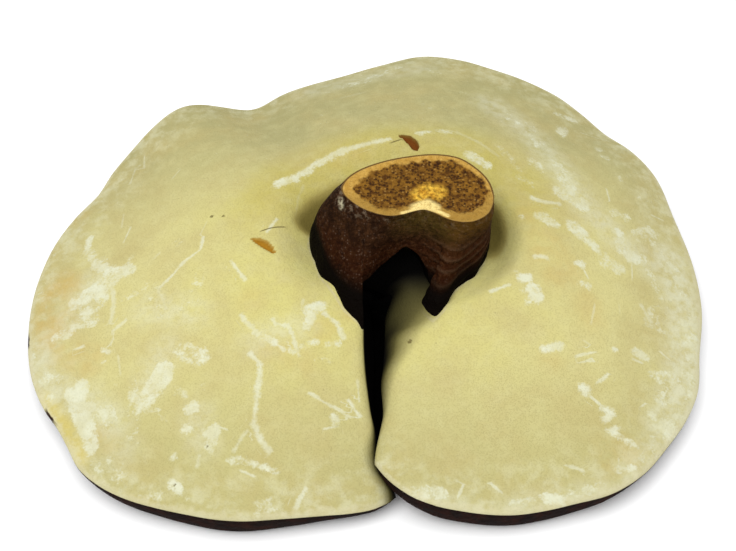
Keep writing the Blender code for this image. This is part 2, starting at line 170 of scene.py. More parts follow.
# Bruises: chalky pale patches where the pore mouths are crushed
BRUISES = (
    (2.4, 0.95, (-80, -49), (-80.5, -53), (-78.5, -58.5)),
    (2.6, 1, (-82.5, -51), (-80, -56.5), (-77, -62.5)), (2.4, 0.9, (-77, -62.5), (-75.5, -68)),
    (2.2, 0.85, (-78, -55.5), (-72, -57.5), (-70.5, -60.5)), (1.2, 0.6, (-70.5, -61), (-70.5, -62.5)),
    (3.4, 1, (-56.5, -47.5), (-58.5, -51.5)), (2.8, 1, (-58.5, -51.5), (-61, -56)),
    (1.6, 0.6, (-65, -50.5), (-64.5, -56.5)), (0.9, 0.6, (-65.5, -59), (-57.5, -59.5), (-55.5, -62)),
    (1.4, 0.5, (-62.5, -62), (-64.5, -66.5)), (1.0, 0.6, (-63, -68.5)),
    (1.9, 0.9, (-48.5, -60), (-47, -59.5)), (1.6, 0.85, (-49, -65.5)),
    (1.8, 0.95, (-43, -67), (-41.5, -66)), (1.9, 0.95, (-41.5, -66.5), (-42, -70)),
    (1.0, 0.9, (-42, -70), (-41.5, -72)), (1.2, 0.6, (-52, -73)), (1.7, 0.95, (-52, -80.5), (-50.5, -82)),
    (0.7, 0.6, (-53.5, -78)), (3.2, 0.35, (-71.5, -73.5), (-67, -76.5)),
    (1.4, 0.5, (-60.5, -83.5), (-55.5, -83.5)), (0.7, 0.6, (-47.5, -84.5)),
    (3.0, 0.55, (-51.5, -42), (-46, -44)), (1.8, 0.75, (-89.5, -30.5), (-86, -30)),
    (0.9, 0.65, (-74, -42)), (2.8, 0.5, (-91.5, -44), (-84, -47)), (1.0, 0.4, (-60.5, -43)),
    (1.3, 0.45, (-52.5, -54), (-50, -55.5)), (1.6, 0.35, (-44.5, -54)),
    (1.0, 0.4, (-71, -49.5), (-69.5, -49.5)), (2.0, 0.45, (-95.5, -33), (-95, -41)),
    (1.8, 0.4, (-89, -50.5), (-85.5, -56.5)), (1.4, 0.5, (-75, -71.5), (-71.5, -76)),
    (0.9, 0.5, (-75, -37.5), (-72, -39)), (1.3, 0.8, (-30.5, -38.5), (-25.5, -41.5)),
    (1.6, 0.5, (-20.5, -44)), (1.9, 0.85, (-16, -32), (-12.5, -30.5)),
    (1.5, 0.85, (-14.5, -32.5), (-16.5, -37)), (1.0, 0.55, (-17.5, -43), (-13.5, -41.5)),
    (1.3, 0.5, (-10.5, -43), (-7.5, -41.5)), (1.1, 0.75, (-36.5, -74.5), (-32, -75), (-24.5, -77.5)),
    (1.0, 0.8, (-8.5, -62), (-8, -64)), (2.6, 0.5, (-27.5, -87.5), (-24.5, -86.5)),
    (1.2, 0.4, (-7, -84.5)), (0.8, 0.4, (-13.5, -47), (-8.5, -47)), (1.3, 0.75, (-84, 6.5), (-84, 1.5)),
    (1.5, 0.8, (-84, 1.5), (-79.5, -5.5)), (2.4, 0.8, (-79.5, -5.5), (-75, -10.5), (-70, -10.5)),
    (3.2, 0.85, (-75, -12.5), (-79, -16), (-84.5, -19)), (2.8, 0.65, (-77, -18.5), (-81, -23.5)),
    (2.2, 0.7, (-79, -26.5), (-84, -27.5)), (1.8, 0.7, (-84, -27.5), (-89.5, -31)),
    (1.6, 0.45, (-64, -17.5), (-70, -22)), (1.2, 0.65, (-53, -27.5)), (0.9, 0.5, (-53, -17)),
    (2.0, 0.3, (-47.5, -16.5), (-49.5, -26.5)), (2.4, 0.3, (-55.5, -3.5)), (0.9, 0.6, (-69.5, -6)),
    (1.3, 0.45, (-77, 32.5)), (1.5, 0.35, (-96.5, 1.5), (-93.5, 4)), (1.4, 0.4, (-97, -12), (-95, -18.5)),
    (2.2, 0.3, (-62, -23.5), (-56, -32)), (1.6, 0.9, (-26.5, 13), (-21, 16.5)),
    (1.3, 0.9, (-21, 16.5), (-13.5, 23.5), (-6, 27.5)), (1.0, 0.55, (16, 33), (22.5, 34.5), (28, 34.5)),
    (2.2, 0.55, (-7.5, 70.5), (-0.5, 71.5), (4, 75.5)), (1.7, 0.5, (4, 75.5), (11, 79.5)),
    (1.4, 0.5, (20.5, 76), (24, 74)), (0.8, 0.4, (31, 61), (35, 59.5)), (0.9, 0.35, (18, 50), (20.5, 48)),
    (0.8, 0.3, (-18, 68.5), (-8, 66)), (1.6, 0.8, (31, 24), (34, 22), (36.5, 19.5)),
    (1.4, 0.3, (-14.5, 49.5)), (1.4, 1, (44.5, -22), (47, -22)), (2.0, 0.9, (48, -25), (49, -27.5)),
    (1.2, 0.55, (46.5, -29.5)), (0.7, 0.65, (43.5, -20)), (1.3, 0.9, (50.5, -42.5), (55, -41)),
    (0.8, 0.8, (71, -39.5)), (1.7, 0.85, (77.5, -39), (80, -40)), (1.7, 1, (61, -52.5), (61.5, -53.5)),
    (1.1, 1, (66, -58), (68.5, -59)), (1.2, 0.95, (68, -59), (66.5, -61)),
    (1.4, 1, (68, -64.5), (69, -64)), (0.5, 0.8, (69.5, -66)), (1.2, 0.75, (71, -66), (75, -68.5)),
    (2.1, 0.75, (13, -84), (20.5, -84)), (1.1, 0.65, (39.5, -85.5), (45, -84.5)),
    (1.7, 0.85, (48.5, -84), (53, -84)), (1.5, 0.65, (56, -82.5), (63.5, -81)), (1.4, 0.75, (64.5, -80)),
    (1.4, 0.75, (69.5, -75.5), (73.5, -74.5)), (1.2, 0.35, (44, -26.5), (46, -28.5)),
    (3.6, 0.55, (86, -46.5), (92, -44.5), (93.5, -47.5)), (2.4, 0.5, (83, -52.5), (89.5, -50.5)),
    (3.0, 0.6, (87, -57.5), (84.5, -62.5)), (1.9, 0.65, (80.5, -58)), (2.2, 0.6, (94, -38), (96, -29.5)),
    (1.6, 0.6, (82, -62), (83, -64.5)), (1.8, 0.45, (79, -65.5), (80.5, -69)), (1.5, 0.5, (81.5, -45)),
    (1.2, 0.6, (95, -26.5), (92.5, -32.5)), (2.0, 0.4, (82, -27.5), (87, -29)),
    (1.4, 0.5, (76, -71.5), (78, -69.5)), (2.2, 0.45, (96, -15.5), (96.5, -22)),
    (1.6, 0.6, (62, 58.5), (68, 57)), (1.9, 0.65, (63, 50), (62.5, 46.5)),
    (2.6, 0.5, (44.5, 49.5), (51.5, 44.5)), (2.4, 0.5, (51.5, 44.5), (56, 31.5), (59.5, 24.5)),
    (2.6, 0.65, (59.5, 24.5), (62, 14)), (3.2, 0.8, (59.5, 13), (65, 10)),
    (2.4, 0.5, (51.5, 25), (53, 22)), (1.5, 0.45, (46.5, 16), (49.5, 13)),
    (1.5, 0.35, (41, 29), (44, 24), (47, 17)), (2.1, 0.65, (51.5, 1), (55.5, -1.5)),
    (2.6, 0.85, (61.5, -0.5), (64, -2.5)), (1.6, 0.8, (64, -2.5), (68, -6.5)), (1.2, 0.5, (46, -0.5)),
    (1.5, 0.8, (76, 3.5), (76.5, -1.5)), (3.0, 0.8, (76.5, -2.5), (79.5, -5.5)),
    (2.8, 0.5, (70.5, -10), (74, -11.5)), (2.4, 0.6, (81.5, 3.5), (87.5, 8)),
    (1.9, 0.5, (79.5, 10.5), (75.5, 10.5)), (1.6, 0.55, (82.5, -3.5), (85, -10.5), (87, -17.5)),
    (1.4, 0.55, (89, -3.5), (95, -5.5)), (2.2, 0.5, (93.5, -11.5), (94, -15)),
    (3.4, 0.45, (85.5, -24.5), (92, -25)), (1.1, 0.5, (78.5, 28.5), (79.5, 27.5)),
    (1.1, 0.4, (84.5, 21.5), (89, 21)), (1.4, 0.65, (62, -14), (63, -14)),
    (1.2, 0.45, (62, -21), (64.5, -21)), (2.0, 0.5, (87.5, 3), (91.5, 2)),
    (1.8, 0.4, (74.5, 41.5), (76, 37.5)),
)
# Wide faint veils of chalk round the bruises
VEILED = (
    (5, 0.5, (40, 56), (52, 40), (59.5, 23.5), (67.5, 8.2), (76, -0.6), (86, -7)),
    (6, 0.7, (92, -2), (94, -20), (93, -36), (90, -50), (84, -61)), (3, 0.6, (84, -62), (72, -77)),
    (2.5, 0.6, (66, -81.5), (53, -84.5), (38, -87)), (2, 0.6, (13, -85.5), (26, -86.5)),
    (5, 0.5, (-80, -12), (-86, -24)), (5, 0.6, (-94, -34), (-93, -44), (-87, -50)),
    (5, 0.5, (-78, -54), (-70, -62)), (4, 0.45, (-60, -50), (-56.5, -41)),
    (4, 0.4, (-66, -70), (-70, -76)), (4, 0.4, (-20, 70), (5, 76), (20, 76)),
    (5, 0.4, (-50, -30), (-62, -26)), (4, 0.4, (-46, -62), (-44, -70)), (4, 0.4, (-30, -41), (-18, -36)),
)
# Scratches: thin pale strokes
SCRATCHES = (
    (0.7, 0.5, (-48, -61.5), (-48, -64.5)), (0.5, 0.8, (-41, -65), (-38, -66)),
    (0.8, 0.6, (-45, -73), (-45.5, -76)), (0.5, 0.5, (-66.5, -75), (-68, -77.5)),
    (0.5, 0.5, (-63.5, -77.5), (-64, -79.5)), (0.7, 0.75, (-83.5, -36), (-81, -35.5)),
    (0.6, 0.6, (-72, -34.5), (-73, -37)), (0.5, 0.45, (-70, -40.5), (-69, -46.5)),
    (1.1, 0.9, (-35, -32.5), (-32, -36.5), (-30, -39)), (0.8, 0.7, (-26, -41), (-22.5, -44)),
    (1.1, 0.85, (-26, -34.5), (-25, -36), (-22, -36.5)),
    (0.9, 0.8, (-22, -36), (-20, -40), (-18.5, -45.5)),
    (1.0, 0.9, (-11.5, -32.5), (-8, -35.5), (-6, -40)), (0.6, 0.5, (-17.5, -28.5), (-18, -31.5)),
    (1.1, 0.95, (-32, -44.5), (-29, -48), (-29.5, -54.5), (-30, -60.5), (-30.5, -65)),
    (1.2, 0.95, (-30.5, -65), (-28.5, -69), (-26, -72.5)),
    (0.9, 0.65, (-30.5, -65.5), (-33.5, -68), (-35.5, -72)), (0.5, 0.75, (-33.5, -77.5), (-30, -79)),
    (0.6, 0.95, (-15, -56.5), (-10.5, -59), (-5, -61)), (0.8, 0.9, (-4.5, -57.5), (-1.5, -61)),
    (0.8, 0.85, (-1.5, -61), (-8, -62)), (0.4, 0.75, (-11, -65.5), (-7.5, -64.5)),
    (0.5, 0.6, (-2, -52), (-1.5, -57.5)), (0.8, 0.9, (-16, -81.5), (-18.5, -86.5)),
    (1.0, 0.65, (-74.5, -15), (-73, -21.5), (-73.5, -29)), (0.8, 0.85, (-69, -29), (-72.5, -32)),
    (0.6, 0.6, (-72.5, -35), (-74, -36.5)), (1.1, 0.5, (-60.5, -18), (-57, -27.5)),
    (0.7, 0.8, (-47.5, -4), (-48, -8.5), (-52.5, -11.5), (-55.5, -15.5), (-59.5, -19.5)),
    (0.3, 0.5, (-47, 1.5), (-49, -4)), (0.7, 0.4, (-60.5, -6.5), (-62, -8)),
    (0.4, 0.6, (-71, 7.5), (-72.5, 1.5)), (0.4, 0.4, (-74, 14.5), (-74, 8.5)),
    (0.8, 0.95, (-38.5, -14.5), (-34.5, -21)), (0.5, 0.6, (-70, 40), (-69.5, 34.5)),
    (0.5, 0.6, (-72.5, 35.5), (-73.5, 29)), (0.3, 0.5, (-57.5, 28.5), (-59.5, 25.5)),
    (1.2, 0.9, (-6, 27.5), (3.5, 29.5), (7.5, 30.5)), (0.8, 0.4, (28, 34.5), (35, 30), (40.5, 24.5)),
    (0.6, 0.75, (-26, -0.5), (-28.5, -5)), (0.6, 0.35, (-18.5, 14), (-20, 9), (-20.5, 3)),
    (0.8, 0.3, (-8, 60), (0, 62)), (1.0, 0.95, (49, -14.5), (52.5, -14.5)),
    (0.8, 0.95, (36, -26.5), (41, -24.5)), (0.6, 0.8, (59.5, -43.5), (62, -42.5), (65, -41.5)),
    (0.5, 0.8, (60, -45), (65, -44)), (0.5, 0.7, (76.5, -41.5), (78.5, -42)),
    (0.7, 0.85, (65, -50.5), (68.5, -47.5)), (0.5, 0.85, (63, -55), (65.5, -57)),
    (0.6, 0.75, (54.5, -75), (57, -75.5), (59.5, -76.5)), (0.5, 0.5, (24.5, -80), (28, -82)),
    (0.5, 0.75, (26.5, -81.5), (25, -85)), (0.6, 0.85, (34, -80.5), (37, -83)),
    (0.4, 0.7, (69.5, -72.5), (69.5, -75.5)), (0.4, 0.5, (62, -38.5), (64, -39.5)),
    (0.5, 0.85, (85, -37), (87.5, -39)), (0.4, 0.65, (77, -56), (79, -54.5)),
    (0.3, 0.6, (69.5, 50.5), (78.5, 49)), (0.9, 0.85, (49.5, 7.5), (52.5, 6.5), (58, 7.5)),
    (1.0, 0.6, (80.5, -22.5), (83, -27.5)), (0.3, 0.65, (79, -8), (78.5, -14)),
    (0.5, 0.75, (88.5, 15.5), (91.5, 15)), (0.5, 0.65, (74, 20.5), (74.5, 15.5)),
    (0.4, 0.65, (63, -14.5), (64.5, -18)), (0.4, 0.45, (66, -26.5), (64.5, -32.5)),
    (0.4, 0.4, (73.5, -24.5), (73.5, -27)), (0.4, 0.5, (90, 3.5), (89, -0.5)),
)
# A yellow stain along the left margin
YELLOWED = ((2.2, 1, (-91, -51), (-87.5, -55.5), (-84, -60), (-80.5, -66), (-78, -71)),)
# Places where the pores have turned tan
TANNED = (
    (4, 0.55, (-12, -37.5)), (3, 0.6, (-5.5, -31.5)), (6, 0.5, (52.5, -10), (56, -17.5)),
    (4, 0.5, (48.5, 1.5)), (6, 0.9, (-90, -12), (-91.5, -24), (-90, -30)),
    (4, 0.4, (64, -25.5), (64.5, -31)), (5, 0.5, (-79, -40.5), (-88, -36)),
    (3, 0.5, (-73.5, -64.5), (-70, -67)), (4, 0.3, (-32.5, -28)), (2, 0.5, (-87.5, 20.5), (-89, 16.5)),
    (3, 0.35, (-7.5, 24), (0, 26)), (5, 0.4, (67, -71.5), (73, -71)), (4, 0.35, (-26.5, -43.5), (-18, -47)),
    (2.5, 0.5, (52, -45.5)),
)
# Bearings between which the crust shows on top of the margin
CRUSTED = ((64.5, 68.5), (81, 84.5))
# Fine dark cracks, drawn as the scratches are, and pinholes: (x, y)
CRACKS = ((0.22, 0.9, (-30, -4.7), (-27, -3.6), (-24, -2.5)), (0.3, 0.8, (8.4, 29.2), (10.4, 30.0)))
PINHOLES = ((-43, -70.5), (-51.5, -80.5), (-45.5, 3.5), (-42, 3), (12.7, -39.6))
PINHOLE_REACH = 1.6
# Painted shade darkens the hollow round the stem to olive towards the back: the y it starts at, and is full
# at
HOLLOW_SHADE_LEFT, HOLLOW_SHADE_RIGHT = (-6.0, 3.5), (-22.0, 4.0)
# Painted shade darkens the pores towards the slit's right edge: (distance out from the hub, over what width,
# the light left at the edge), and towards its left edge, where the right lobe shades it: (distance out, over
# what width)
DARK_BESIDE_SLIT = (
    (0, 4, 0.7), (11, 8, 0.55), (14, 12, 0.28), (17, 15, 0.07), (20, 15, 0.03), (25, 12.5, 0.0),
    (31, 6.5, 0.22), (36, 3.4, 0.38), (41, 1.8, 0.5), (47, 1, 0.8), (68, 1, 0.9),
)
DARK_ON_LEFT = ((0, 0.8), (30, 0.8), (46, 1.5), (54, 5), (60, 5), (68, 3))
# Painted shade darkens them under the arch at the stem's front too, along a line, over this reach and fading
# beside it, from one y forward to another, where the light has come back along a curve
ARCH_DARK_LINE = ((2, -17), (8, -15), (11, -16), (12, -24))
ARCH_DARK_REACH, ARCH_DARK_FADE = 7.0, 8.0
ARCH_DARK_FROM, ARCH_DARK_TO = -16.0, -46.0
ARCH_DARK_CURVE = 1.5
# The left lobe is clear of the arch in front of this, the cosine of a bearing
ARCH_CLEAR_FROM = -0.2
# Distances from the stem are counted up to this, and the slit's end counts as this much further away
FAR_FROM_STEM = 30.0
SLIT_END_AWAY = 3.0

# ---- Stem ----
CUT_HEIGHT = 50.0
WAIST_HEIGHT = 27.0
FOOT_HEIGHT = 24.0
ROOT_HEIGHT = 15.0
# Strands down the outside, from the right foot round the back to the left foot: x and y at the cut,
# at the bend half-way down, and at the foot
OUTER_STRANDS = (
    (24.9, -18.9, 21.2, -21.6, 15.2, -29.8), (27.0, -19.3, 22.0, -22.0, 19.3, -34.6),
    (28.8, -19.3, 25.4, -22.0, 22.4, -31.8),
    (30.6, -18.9, 28.6, -20.5, 24.2, -26.8), (32.6, -17.8, 31.8, -18.5, 27.4, -22.8),
    (34.5, -16.0, 34.2, -16.5, 31.8, -18.5), (35.8, -13.0, 35.4, -13.0, 34.8, -13.0),
    (36.3, -9.0, 36.0, -7.0, 36.3, -4.0), (35.2, -3.7, 35.5, -0.5, 36.2, 3.6),
    (32.0, 1.3, 33.0, 4.5, 32.5, 9.5), (26.9, 5.6, 26.5, 9.0, 25.0, 13.0),
    (19.9, 7.0, 17.5, 10.5, 15.4, 14.2), (12.4, 6.1, 8.0, 10.0, 4.9, 13.3),
    (5.4, 4.2, -1.5, 8.0, -5.3, 10.6), (-0.6, 1.4, -9.0, 4.5, -12.1, 6.0),
    (-4.7, -2.0, -14.0, -0.5, -16.2, 0.4), (-6.6, -5.6, -16.5, -5.0, -16.6, -6.2),
    (-6.3, -8.2, -15.5, -10.0, -14.6, -13.0), (-5.0, -10.2, -12.5, -14.5, -12.9, -19.6),
    (-3.3, -12.0, -8.5, -17.5, -9.4, -25.2), (-1.5, -13.6, -4.5, -20.0, -5.6, -31.4),
    (0.0, -14.6, -1.6, -18.8, -0.6, -36.0),
)
# In front, from the left foot to the right one, the strands turn in under a lip and make the
# hollow: x and y at the cut, x, y and z at the lip, x and y at the foot
HOLLOW_STRANDS = (
    (1.5, -15.4, -1.0, -26.8, 30.9, -1.2, -26.5), (4.3, -16.5, 1.3, -23.6, 31.9, -3.0, -17.5),
    (7.3, -17.0, 4.4, -20.2, 32.4, -2.0, -11.0), (10.4, -16.5, 8.2, -18.5, 35.3, 2.2, -7.0),
    (13.4, -15.4, 11.4, -17.6, 37.8, 7.8, -4.8), (16.4, -14.7, 14.9, -18.6, 35.8, 12.8, -7.4),
    (19.2, -15.8, 16.7, -20.4, 32.8, 16.2, -12.6), (21.9, -17.5, 17.8, -22.2, 30.0, 17.9, -20.0),
    (23.6, -18.4, 18.9, -24.2, 27.5, 19.2, -24.4),
)
# The share of the way from the lip to the root in which the hollow's strands turn in
TURN_SHARE = 0.22
# Rings sag round the right of the bark: their spacing, where they hang lowest, how quickly they rise
# beside it, how they wander as (size across, how far), and from where to where they fade in, to the
# right and below the cut
RING_SPACING = 3.4
RINGS_LOWEST_AT = 24
RING_RISE = 0.016
RING_WANDER = (11.0, 1.3)
RINGS_TO_RIGHT = (12, 22)
RINGS_BELOW_CUT = (3, 9)
# Relief of the bark: its lumps as (size across, height), the rings' height, and fine creases along
# the stem, which start below the cut
BARK_LUMPS = ((8.0, 0.55), (3.0, 0.22))
RING_HEIGHT = 0.22
CREASE_SIZE, CREASE_HEIGHT = 2.2, 0.16
CREASES_BELOW_CUT = (1, 4)
SMOOTH_BELOW_CUT = 2.5
# Creases are drawn out along the stem, and relief moves the skin less up or down than sideways
UPRIGHT = (1.0, 1.0, 0.3)
# The cut is sawn a little rough, and its pith has sunk: (how far in from the bark it starts and is full)
SAW_ROUGHNESS, SAW_MARK_SIZE, SAWN_IN = 0.12, 1.1, (0, 1.5)
PITH_SUNK, SUNK_IN = 0.25, (2.5, 4.5)
# The cut's rings shrink towards this point of the pith, and crowd near the bark
PITH = np.array((15.0, -5.0, CUT_HEIGHT))
PITH_MIDDLE_SUNK = 0.4
RING_CROWDING = 1.15
# The very middle counts as this far in from the bark
DEEP_IN = 12.0

# ---- Stem: spacing of the mesh ----
POINTS_PER_STRAND = 10
ROWS_ABOVE_LIP = 46
ROWS_IN_TURN = 20
ROWS_IN_HOLLOW = 22
CUT_RINGS = 44
SHARP_ANGLE = 50

# ---- Marks on the stem ----
# Golden flesh beside the notch, and the pale flesh in the notch itself and along its edge, each
# (reach, (x, y), (x, y), ...)
GOLDEN_FLESH = ((2.7, (15.5, -8.8), (17.6, -6.9), (20.6, -7.8)),)
CREAM_FLESH = (
    (1.9, (14.4, -13.8), (17.3, -12.1), (19.4, -13.6)),
    (0.7, (10.5, -15.8), (13.7, -14.9), (17.4, -14.0), (20.9, -15.5), (23.0, -16.7)),
)
# A pale scar on the bark just below the cut, at the left: (x, y, z) of its two ends
SCAR = np.array(((-6.7, -9.6, 48.4), (-6.5, -11.0, 47.4)))
SCAR_REACH = 0.95
# These marks have faded out at this many times their reach, and are solid up to 1 less
FADED_AT = 1.4
# How strongly the first and the last strand of the hollow count as inside it
HALF_INSIDE = 0.6


# ---- Curves and unevenness ----

# The numbers behind the lumps repeat after this many, and each batch of lumps starts this much further on
LATTICE = 32
BATCH_SHIFT = 11.3


def along(rows, at, column=1):
    """Smooth curve through the rows' (station, value) points, read at the stations `at`."""
    stations = np.array([row[0] for row in rows], float)
    values = np.array([row[column] for row in rows], float)
    slopes = np.gradient(values, stations)
    at = np.clip(at, stations[0], stations[-1])
    i = np.clip(np.searchsorted(stations, at, side="right") - 1, 0, len(stations) - 2)
    span = stations[i + 1] - stations[i]
    t = (at - stations[i]) / span
    return (
        (1 + 2 * t) * (1 - t) ** 2 * values[i]
        + t * (1 - t) ** 2 * span * slopes[i]
        + t * t * (3 - 2 * t) * values[i + 1]
        + t * t * (t - 1) * span * slopes[i + 1]
    )


def both_along(rows, at):
    """Smooth curves through the rows' second numbers and through their third ones, read at `at`."""
    return along(rows, at, 1), along(rows, at, 2)


def ease(t):
    """0 below 0, 1 above 1, and a smooth step between."""
    t = np.clip(t, 0, 1)
    return t * t * (3 - 2 * t)


def fade_in(value, start, full):
    """0 up to `start`, 1 from `full`, and a smooth step between."""
    return ease((value - start) / (full - start))


def rounded(distance, width):
    """0 at an edge, rising along a quarter circle to 1 at `width` from it."""
    return np.sqrt(1 - (1 - np.clip(distance / width, 0, 1)) ** 2)


def lumps(points, size, batch):
    """Soft unevenness between -1 and 1 with lumps about `size` across; `batch` picks another set."""
    lattice = np.random.default_rng(batch).uniform(-1, 1, (LATTICE, LATTICE, LATTICE))
    at = points / size + BATCH_SHIFT * batch
    low = np.floor(at).astype(int)
    part = ease(at - low)
    total = 0
    for corner in np.ndindex(2, 2, 2):
        weight = np.prod(np.where(corner, part, 1 - part), axis=-1)
        cell = (low + corner) % LATTICE
        total = total + weight * lattice[cell[..., 0], cell[..., 1], cell[..., 2]]
    return total


# ---- Strokes on the pore face ----

# A stroke of one point is drawn this long
DOT_LENGTH = 0.1
# A thin stroke is known this many half widths to each side. In millimetres, it is full up to this far
# to each side and fades over the next bit, and it fades over this beyond its ends
LINE_KNOWN = 6.0
LINE_FULL, LINE_FADE = 1.5, 1.2
LINE_END_FADE = 1.3


def beside_stroke(x, y, points):
    """Distance to the line through `points`, the same signed across it, and how far past its ends."""
    points = [np.array(point, float) for point in points]
    if len(points) == 1:
        points.append(points[0] + (DOT_LENGTH, 0.0))
    nearest = np.full(x.shape, np.inf)
    across, past = np.zeros(x.shape), np.zeros(x.shape)
    for k, (start, end) in enumerate(zip(points, points[1:])):
        length = np.hypot(*(end - start))
        ux, uy = (end - start) / length
        run = (x - start[0]) * ux + (y - start[1]) * uy
        side = (y - start[1]) * ux - (x - start[0]) * uy
        on_line = np.clip(run, 0, length)
        distance = np.hypot(run - on_line, side)
        closer = distance < nearest
        nearest = np.where(closer, distance, nearest)
        across = np.where(closer, side, across)
        before_start = -run if k == 0 else 0
        after_end = run - length if k == len(points) - 2 else 0
        past = np.where(closer, np.maximum(np.maximum(before_start, after_end), 0), past)
    return nearest, across, past


def patch_cover(grid, strokes, softness):
    """How strongly wide soft strokes cover each place, 0 to 1."""
    cover = np.zeros(grid.x.shape)
    for half_width, strength, *points in strokes:
        distance = beside_stroke(grid.x, grid.y, points)[0]
        depth = ease((half_width + softness - distance) / (2 * softness))
        cover = np.maximum(cover, strength * depth)
    return cover


def line_cover(grid, strokes):
    """Place across the nearest thin stroke, in its half widths, and how strongly it shows there."""
    across, shows = np.full(grid.x.shape, LINE_KNOWN), np.zeros(grid.x.shape)
    for half_width, strength, *points in strokes:
        _, side, past = beside_stroke(grid.x, grid.y, points)
        beside = ease(1 - (np.abs(side) - LINE_FULL) / LINE_FADE)
        here = strength * beside * ease(1 - past / LINE_END_FADE)
        stronger = here > shows
        across = np.where(stronger, np.clip(side / half_width, -LINE_KNOWN, LINE_KNOWN), across)
        shows = np.maximum(shows, here)
    return across, shows


# ---- Cap ----


def leaning(distance):
    """0 at the slit's mouth, 1 at LEAN_AT in from it, and back to 0 over LEAN_BACK more."""
    return ease(distance / LEAN_AT) * (1 - ease((distance - LEAN_AT) / LEAN_BACK))


class CapGrid:
    """The cap as two sheets over one grid, from the slit's left edge round to its right edge."""

    def __init__(self, bearings, shares):
        self.bearing, self.share = np.meshgrid(bearings, shares, indexing="ij")
        self.reach = along(MARGIN_REACH, self.bearing)
        self.radius = SLIT_END_RADIUS + (self.reach - SLIT_END_RADIUS) * self.share
        self.turn = np.radians(self.bearing)
        self.on_left = self.bearing < 180
        self.in_front = ease(np.cos(self.turn) * PUSH_IN_FRONT)
        self.measure_edges()
        self.x, self.y = self.plan(self.radius)
        self.on_plan = np.stack((self.x, self.y, 0 * self.x), -1)
        self.light_gouge = self.gouged_by(LIGHT_GOUGE, LIGHT_GOUGE_DEPTH)
        self.dark_gouge = self.gouged_by(DARK_GOUGE, DARK_GOUGE_DEPTH)
        self.gouged = self.light_gouge + self.dark_gouge
        self.upper = self.pore_height()
        self.lower_x, self.lower_y = self.crust_plan()
        self.lower = self.crust_height()

    def measure_edges(self):
        """How far each point is from the cap's edges."""
        ahead = np.cos(self.turn)
        behind = 1 + AWAY_BEHIND * ease(-ahead)
        from_slit = self.radius * np.where(ahead > 0, np.abs(np.sin(self.turn)), behind)
        self.from_left = np.where(self.on_left, from_slit, self.reach)
        self.from_right = np.where(self.on_left, self.reach, from_slit)
        self.from_margin = self.reach - self.radius
        self.from_end = self.radius - SLIT_END_RADIUS

    def plan(self, radius):
        """Where the grid's points lie in plan when they are `radius` from the hub."""
        side, ahead = radius * np.sin(self.turn), radius * np.cos(self.turn)
        left_edge, right_edge = both_along(SLIT_EDGES, radius)
        push = np.clip(1 - np.abs(side) / SLIT_PUSH_REACH, 0, 1) ** 2 * self.in_front
        x = HUB[0] - side + np.where(self.on_left, left_edge, right_edge) * push
        return x, HUB[1] - ahead

    def crust_plan(self):
        """The crust's plan, which leans in under the slit's mouth from both sides and from its end."""
        off_sides = ease(np.minimum(self.from_left, self.from_right) / LEAN_AT)
        radius = self.radius - END_LEAN * leaning(self.from_end) * off_sides
        x, y = self.plan(radius)
        left_edge, right_edge = both_along(SLIT_EDGES, radius)
        room = right_edge - left_edge
        lean = np.maximum(room - SLIT_GAP, 0) / 2 + TOUCH_TO * ease(1 + room / LAP_SOFT)
        middle = HUB[0] + (left_edge + right_edge) / 2
        to_middle = np.where(self.on_left, middle - x, x - middle) - SLIT_GAP / 2
        lean = np.clip(to_middle, 0, lean) * self.in_front
        return x + lean * (leaning(self.from_left) - leaning(self.from_right)), y

    def gouged_by(self, outline, deepest):
        """How deep each point lies in one gouge."""
        fill = 0
        for start, end in zip(np.array(outline), np.array(outline[1:])):
            length = np.hypot(*(end - start)[:2])
            ux, uy = (end - start)[:2] / length
            run = np.clip((self.x - start[0]) * ux + (self.y - start[1]) * uy, 0, length)
            distance = np.hypot(self.x - start[0] - run * ux, self.y - start[1] - run * uy)
            half_width = start[2] + (end[2] - start[2]) * run / length
            fill = np.maximum(fill, 1 - distance / half_width)
        return deepest * ease(GOUGE_STEEPNESS * fill)

    def pore_height(self):
        """The pore face: its swelling, hollow and folds, its waves, and its edges rolled down."""
        edge = along(MARGIN_HEIGHT, self.bearing) + LIP_DROP
        top_at, top = both_along(SWELLING, self.bearing)
        outward = np.clip((self.radius - top_at) / (self.reach - top_at), 0, 1)
        slope = outward**2 * (1 + SLOPE_SOFTNESS) / (outward + SLOPE_SOFTNESS)
        deep, foot_at = both_along(MOAT, self.bearing)
        inward = np.clip((top_at - self.radius) / (top_at - foot_at), 0, 1)
        self.sunk = deep * ease(inward)
        height = top - (top - edge) * slope - self.sunk
        for x, y, long, wide, turn, rise in FOLDS:
            c, s = np.cos(np.radians(turn)), np.sin(np.radians(turn))
            u = (c * (self.x - x) + s * (self.y - y)) / long
            v = (c * (self.y - y) - s * (self.x - x)) / wide
            height = height + rise * np.exp(-(u * u + v * v) / 2)
        inside = ease(self.from_margin / PORE_WAVES_END) * ease(self.from_end / PORE_WAVES_END)
        for batch, (size, rise) in enumerate(PORE_WAVES):
            height = height + rise * inside * lumps(self.on_plan, size, batch + 1)
        for distance, drop, width in (
            (self.from_margin, LIP_DROP, LIP_WIDTH),
            (self.from_left, LEFT_EDGE_DROP, LEFT_EDGE_WIDTH),
            (self.from_right, *both_along(RIGHT_ROLL, self.radius)),
            (self.from_end, *both_along(END_ROLL, self.bearing)),
        ):
            height = height - drop * (1 - rounded(distance, width))
        return height - self.gouged

    def crust_height(self):
        """The crust below, which meets the pore face at every edge along a blunt curve."""
        depth, under = both_along(RIM, self.bearing)
        rise = np.maximum(along(MARGIN_HEIGHT, self.bearing) - depth, 0)
        crust = rise * ease((self.radius / self.reach - CRUST_FLAT) / (1 - CRUST_FLAT))
        crust = crust + self.growth_lines() + self.crust_waves()
        share = rounded(self.from_margin, under)
        wall = along(WALL, self.bearing)
        for distance in (self.from_left, self.from_right, self.from_end):
            share = share * rounded(distance, wall)
        top = self.upper + self.gouged
        return top + (crust - top) * share

